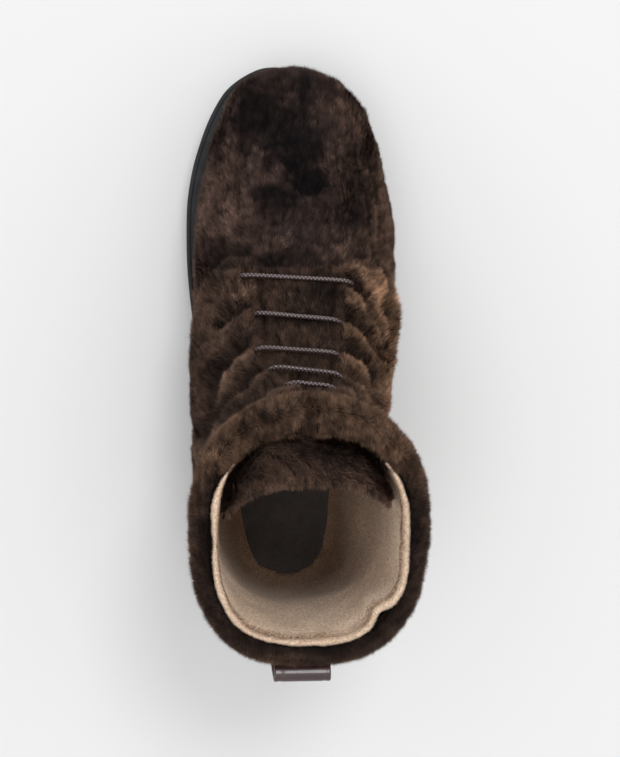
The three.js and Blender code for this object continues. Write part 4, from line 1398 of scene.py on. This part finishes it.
def build_lace():
    """A round waxed lace whose plait stands up in small beads, with painted glints on the beads."""
    around, spacing, bead = 16, 0.3, 2.0
    path, at = resample(spline(lace_route(), 10), spacing)
    side, other = sweep_frames(path)
    angle = np.linspace(0, 2 * np.pi, around, endpoint=False)[None, :]
    turn = 2 * np.pi * at[:, None] / bead
    plait = np.cos(3 * angle) * np.cos(turn)
    radius = LACE_DIAMETER / 2 * (0.95 + 0.06 * plait)
    points = path[:, None] + radius[..., None] * (
        side[:, None] * np.cos(angle)[..., None] + other[:, None] * np.sin(angle)[..., None]
    )
    piece = new_mesh("lace_cord", points.reshape(-1, 3), ring_faces(len(path), around))
    tidy_normals(piece)
    # Painted highlights: light dots on the plait's beads stand in for the glints of the wax.
    painted_glint = smooth((plait - 0.35) / 0.5)[..., None]
    tint = np.array([0.034, 0.018, 0.018]) + painted_glint * np.array([0.36, 0.29, 0.29])
    rgba = np.concatenate([tint, np.ones_like(tint[..., :1])], 2)
    layer = piece.data.attributes.new("tint", "FLOAT_COLOR", "POINT")
    layer.data.foreach_set("color", rgba.astype(np.float32).ravel())
    return dress(piece, cord_material(), "waxed_cord", "lace")


# The top of the pull loop: how far it lies below its highest point, from the shaft outwards.
LOOP_TOP = table("share drop", [
    [0.02, 3.8],
    [0.08, 2.1],
    [0.19, 1.05],
    [0.32, 0.42],
    [0.5, 0],
    [0.68, 0.25],
    [0.83, 1.0],
    [0.94, 2.5],
    [1, 4.8],
])


def on_loop(out, z):
    """A point of the pull loop's side view: out behind the shaft and up, on the lean of its back."""
    return 0, LOOP["front"] - out - LOOP["lean"] * (z - LOOP["bottom"]), z


def build_loop():
    """A strap of glossy leather folded in two, sewn to the back of the shaft."""
    middle, leather, sewn, bottom = LOOP["depth"] / 2, LOOP["leather"], LOOP["sewn"], LOOP["bottom"]
    radius = middle - leather / 2
    line = [on_loop(leather / 2, z) for z in (bottom, sewn, sewn + 10)]
    for share, drop in zip(*LOOP_TOP.values()):
        line.append(on_loop(leather / 2 + 2 * radius * share, LOOP["top"] - leather / 2 - drop))
    line.append(on_loop(LOOP["depth"] - leather / 2, sewn + 11))
    line.append(on_loop(1.5 * leather + 1.2, sewn + 1))
    line += [on_loop(1.5 * leather + 0.05, z) for z in (sewn - 4, bottom)]
    path = spline(np.array(line), 6)
    tangent = unit(np.gradient(path, axis=0))
    out = np.stack([np.zeros(len(path)), -tangent[:, 2], tangent[:, 1]], 1)
    face = np.concatenate([[-1, -0.985, -0.95], np.linspace(-0.9, 0.9, 17), [0.95, 0.985, 1]])
    half_thick = leather / 2 * np.interp(np.abs(face), [0, 0.95, 0.985, 1], [1, 1, 0.85, 0.45])
    half_thick = half_thick - 0.2 * bell((np.abs(face) - 0.7875) / 0.05)
    x = np.concatenate([face, face[::-1]]) * LOOP["width"] / 2 + LOOP["x"]
    thick = np.concatenate([half_thick, -half_thick[::-1]])
    points = path[:, None] + np.stack([x, 0 * x, 0 * x], 1)[None] + out[:, None] * thick[None, :, None]
    piece = new_mesh("pull_loop_leather", points.reshape(-1, 3), ring_faces(len(path), len(x)))
    tidy_normals(piece)
    dark, light = (0.022, 0.006, 0.007), (0.052, 0.015, 0.017)
    glossy = leather_material("loop_leather", dark, light, rough=0.32, grain=900)
    glossy.set(Coat_Weight=0.65, Coat_Roughness=0.14)
    return dress(piece, glossy.material, "loop_leather", "pull_loop")


def build_shaft_pile(wool):
    """The wool of the vamp and the two sides."""
    sheet = outer_sheet(420, 620)
    kept = pile_mask(sheet)
    ahead = sheet.place < 10.2
    parts = {
        "pile_vamp": kept & ahead,
        "pile_inner_side": kept & ~ahead & (sheet.turn > 0.5),
        "pile_outer_side": kept & ~ahead & (sheet.turn <= 0.5),
    }
    for name, mask in parts.items():
        spots = scatter(name, sheet, cell_mask(mask))
        x, y, z = spots["points"].T
        quarter = smooth((spots["place"] - 9.5) / 2)
        side = smooth((x - 20) / 25)
        warm = 0.1 + 0.3 * quarter + 0.35 * smooth((x - 10) / 40) + 0.25 * quarter * smooth(x / 30)
        spots["shade"] = spots["shade"] * (0.92 + 0.16 * quarter + 0.25 * side + 0.85 * side * quarter)
        fringe = smooth((y - 222) / 12) * smooth((x + 8) / 16)
        # Painted light: a lighter band low on the inner side, where the wool's edge above the sole catches
        # the light.
        spots["shade"] = spots["shade"] * (1 + 0.45 * bell((z - sole_top(y) - 9) / 6) * (x < 0))
        kind = {"length": 4.9 + 2.2 * fringe, "lean": 0.85 - 0.25 * fringe}
        grow_pile(name, spots, colours(spots, np.clip(warm, 0, 1)), **kind, **wool)


def build_collar_pile(wool):
    """The wool of the collar's rim, of its inner front and of the facings' edges."""
    rim = rim_sheet(40, 620)
    near = rim.away < rim.width - 1.9 * smooth((CORNER_Y - 4 - rim.points[..., 1]) / 10)
    spots = scatter("pile_collar", rim, cell_mask(near))
    y = spots["points"][:, 1]
    inward = np.pi * smooth((spots["away"] - 6.5) / 4) * (y > CORNER_Y - 2)
    colour = colours(spots, 0.5 + 0.35 * smooth((y - 20) / 30))
    grow_pile("pile_collar", spots, colour, lean=0.7, turned=inward, **wool)

    wall = front_wall_sheet(60, 200)
    x = wall.points[..., 0]
    outside_wedge = (x < WEDGE[0]) | (x > WEDGE[1])
    spots = scatter("pile_front_wall", wall, cell_mask(front_wall_mask(wall) & outside_wedge))
    turned = 1.6 * rng.standard_normal(len(spots["place"]))
    kind = {"length": 4.4, "root": FACING_HIDE_DEPTH, "lean": 0.55, "turned": turned}
    grow_pile("pile_front_wall", spots, colours(spots, 0.5), **kind, **wool)

    for side in ("inner", "outer"):
        name = f"pile_flap_{side}"
        flap = flap_sheet(side, 200, 24)
        spots = scatter(name, flap, cell_mask(flap.place < 21))
        turned = 0.9 * rng.standard_normal(len(spots["place"])) + 0.6
        kind = {"length": 5.2, "root": FACING_HIDE_DEPTH, "lean": 0.75, "turned": turned}
        grow_pile(name, spots, colours(spots, 0.45), **kind, **wool)


def build_tongue_pile(wool):
    face, edge = tongue_sheet(200, 120), tongue_edge_sheet()
    spots = scatter("pile_tongue", face, all_cells(face.points))
    closed = smooth((spots["place"] - 20) / 2) * smooth((4 - spots["points"][:, 0]) / 8)
    turned = np.pi * smooth((spots["place"] - 19.5) / 1.5)
    length = 4.8 + 2.4 * closed
    kind = {"length": length, "root": TONGUE_HIDE_DEPTH, "lean": 0.8, "turned": turned}
    grow_pile("pile_tongue", spots, colours(spots, 0.5), **kind, **wool)
    spots = scatter("pile_tongue_edge", edge, all_cells(edge.points))
    kind = {"length": 4.6, "root": 0.8, "lean": 0.8, "turned": np.pi}
    grow_pile("pile_tongue_edge", spots, 1.2 * colours(spots, 0.5), **kind, **wool)


def build_lining_nap():
    """Short fuzz on the lining's rolled edge, which thins out down the wall."""
    lining = lining_sheet(110, 400)
    kept = lining_mask(lining) & (lining.place > TOP - 0.8)
    spots = scatter("lining_nap", lining, cell_mask(kept))
    thin = rng.random(len(spots["place"])) < smooth((spots["place"] - TOP + 0.8) / 0.75)
    spots = {key: values[thin] for key, values in spots.items()}
    nap = TAN * (0.88 + 0.24 * noise(spots["points"], 6, 50))[:, None]
    felt = {"material": pile_material("lining_nap"), "slot": "lining_felt"}
    kind = {"length": 1.0, "root": 0.15, "width": 0.26, "lean": 0.75, "turned": np.pi}
    grow_pile("lining_nap", spots, nap, roots=1.2, contrast=0.3, **kind, **felt)


def build_piles():
    wool = {"material": pile_material("wool_pile"), "slot": "wool_pile"}
    build_shaft_pile(wool)
    build_collar_pile(wool)
    build_tongue_pile(wool)
    build_lining_nap()


def dress_insole():
    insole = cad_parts["insole"]
    dark, light = (0.02, 0.012, 0.008), (0.055, 0.035, 0.025)
    leather = leather_material("footbed_leather", dark, light, rough=0.5, grain=700)
    insole.data.materials.clear()
    insole.data.materials.append(leather.material)


def add_stage():
    size = 3.0
    corners = [(-size, -size, 0), (size, -size, 0), (size, size, 0), (-size, size, 0)]
    mesh = bpy.data.meshes.new("floor")
    mesh.from_pydata([Vector(c) for c in corners], [], [(0, 1, 2, 3)])
    mesh.materials.append(floor_material())
    new_object("floor", mesh)


def looking(at, aim):
    """A transform at a point, facing another, with the image's up along +Y."""
    z = (at - aim).normalized()
    x = Vector((0, 1, 0)).cross(z).normalized()
    turn = Matrix((x, z.cross(x), z)).transposed().to_4x4()
    return Matrix.Translation(at) @ turn


def add_light(name, at, aim, size, power):
    data = bpy.data.lights.new(name, "AREA")
    data.shape = "DISK"
    data.size = size
    data.energy = power
    new_object(name, data).matrix_world = looking(Vector(at), Vector(aim))


def add_camera():
    data = bpy.data.cameras.new("camera")
    data.sensor_fit = "HORIZONTAL"
    data.sensor_width = 36
    data.lens = 36 * FOCAL_PIXELS / IMAGE_WIDTH
    data.clip_start = 0.01
    camera = new_object("camera", data)
    camera.matrix_world = looking(Vector(CAMERA_AT) * MM, Vector(CAMERA_AIM) * MM)
    bpy.context.scene.camera = camera


def add_lighting():
    world = bpy.data.worlds.new("studio")
    world.use_nodes = True
    background = world.node_tree.nodes["Background"]
    background.inputs["Color"].default_value = (1, 1, 1, 1)
    background.inputs["Strength"].default_value = 0.83
    bpy.context.scene.world = world
    bpy.context.scene.view_settings.view_transform = "Standard"
    middle = (0, 0.08, 0.05)
    add_light("key", (0.4, 1.1, 2.35), middle, size=0.9, power=17)
    add_light("fill", (-0.7, -0.7, 2.5), middle, size=1.2, power=8)


add_camera()
add_stage()
add_lighting()
build_outsole()
build_welt()
build_hide()
build_lining()
build_tongue()
build_lace()
build_loop()
dress_insole()
build_piles()
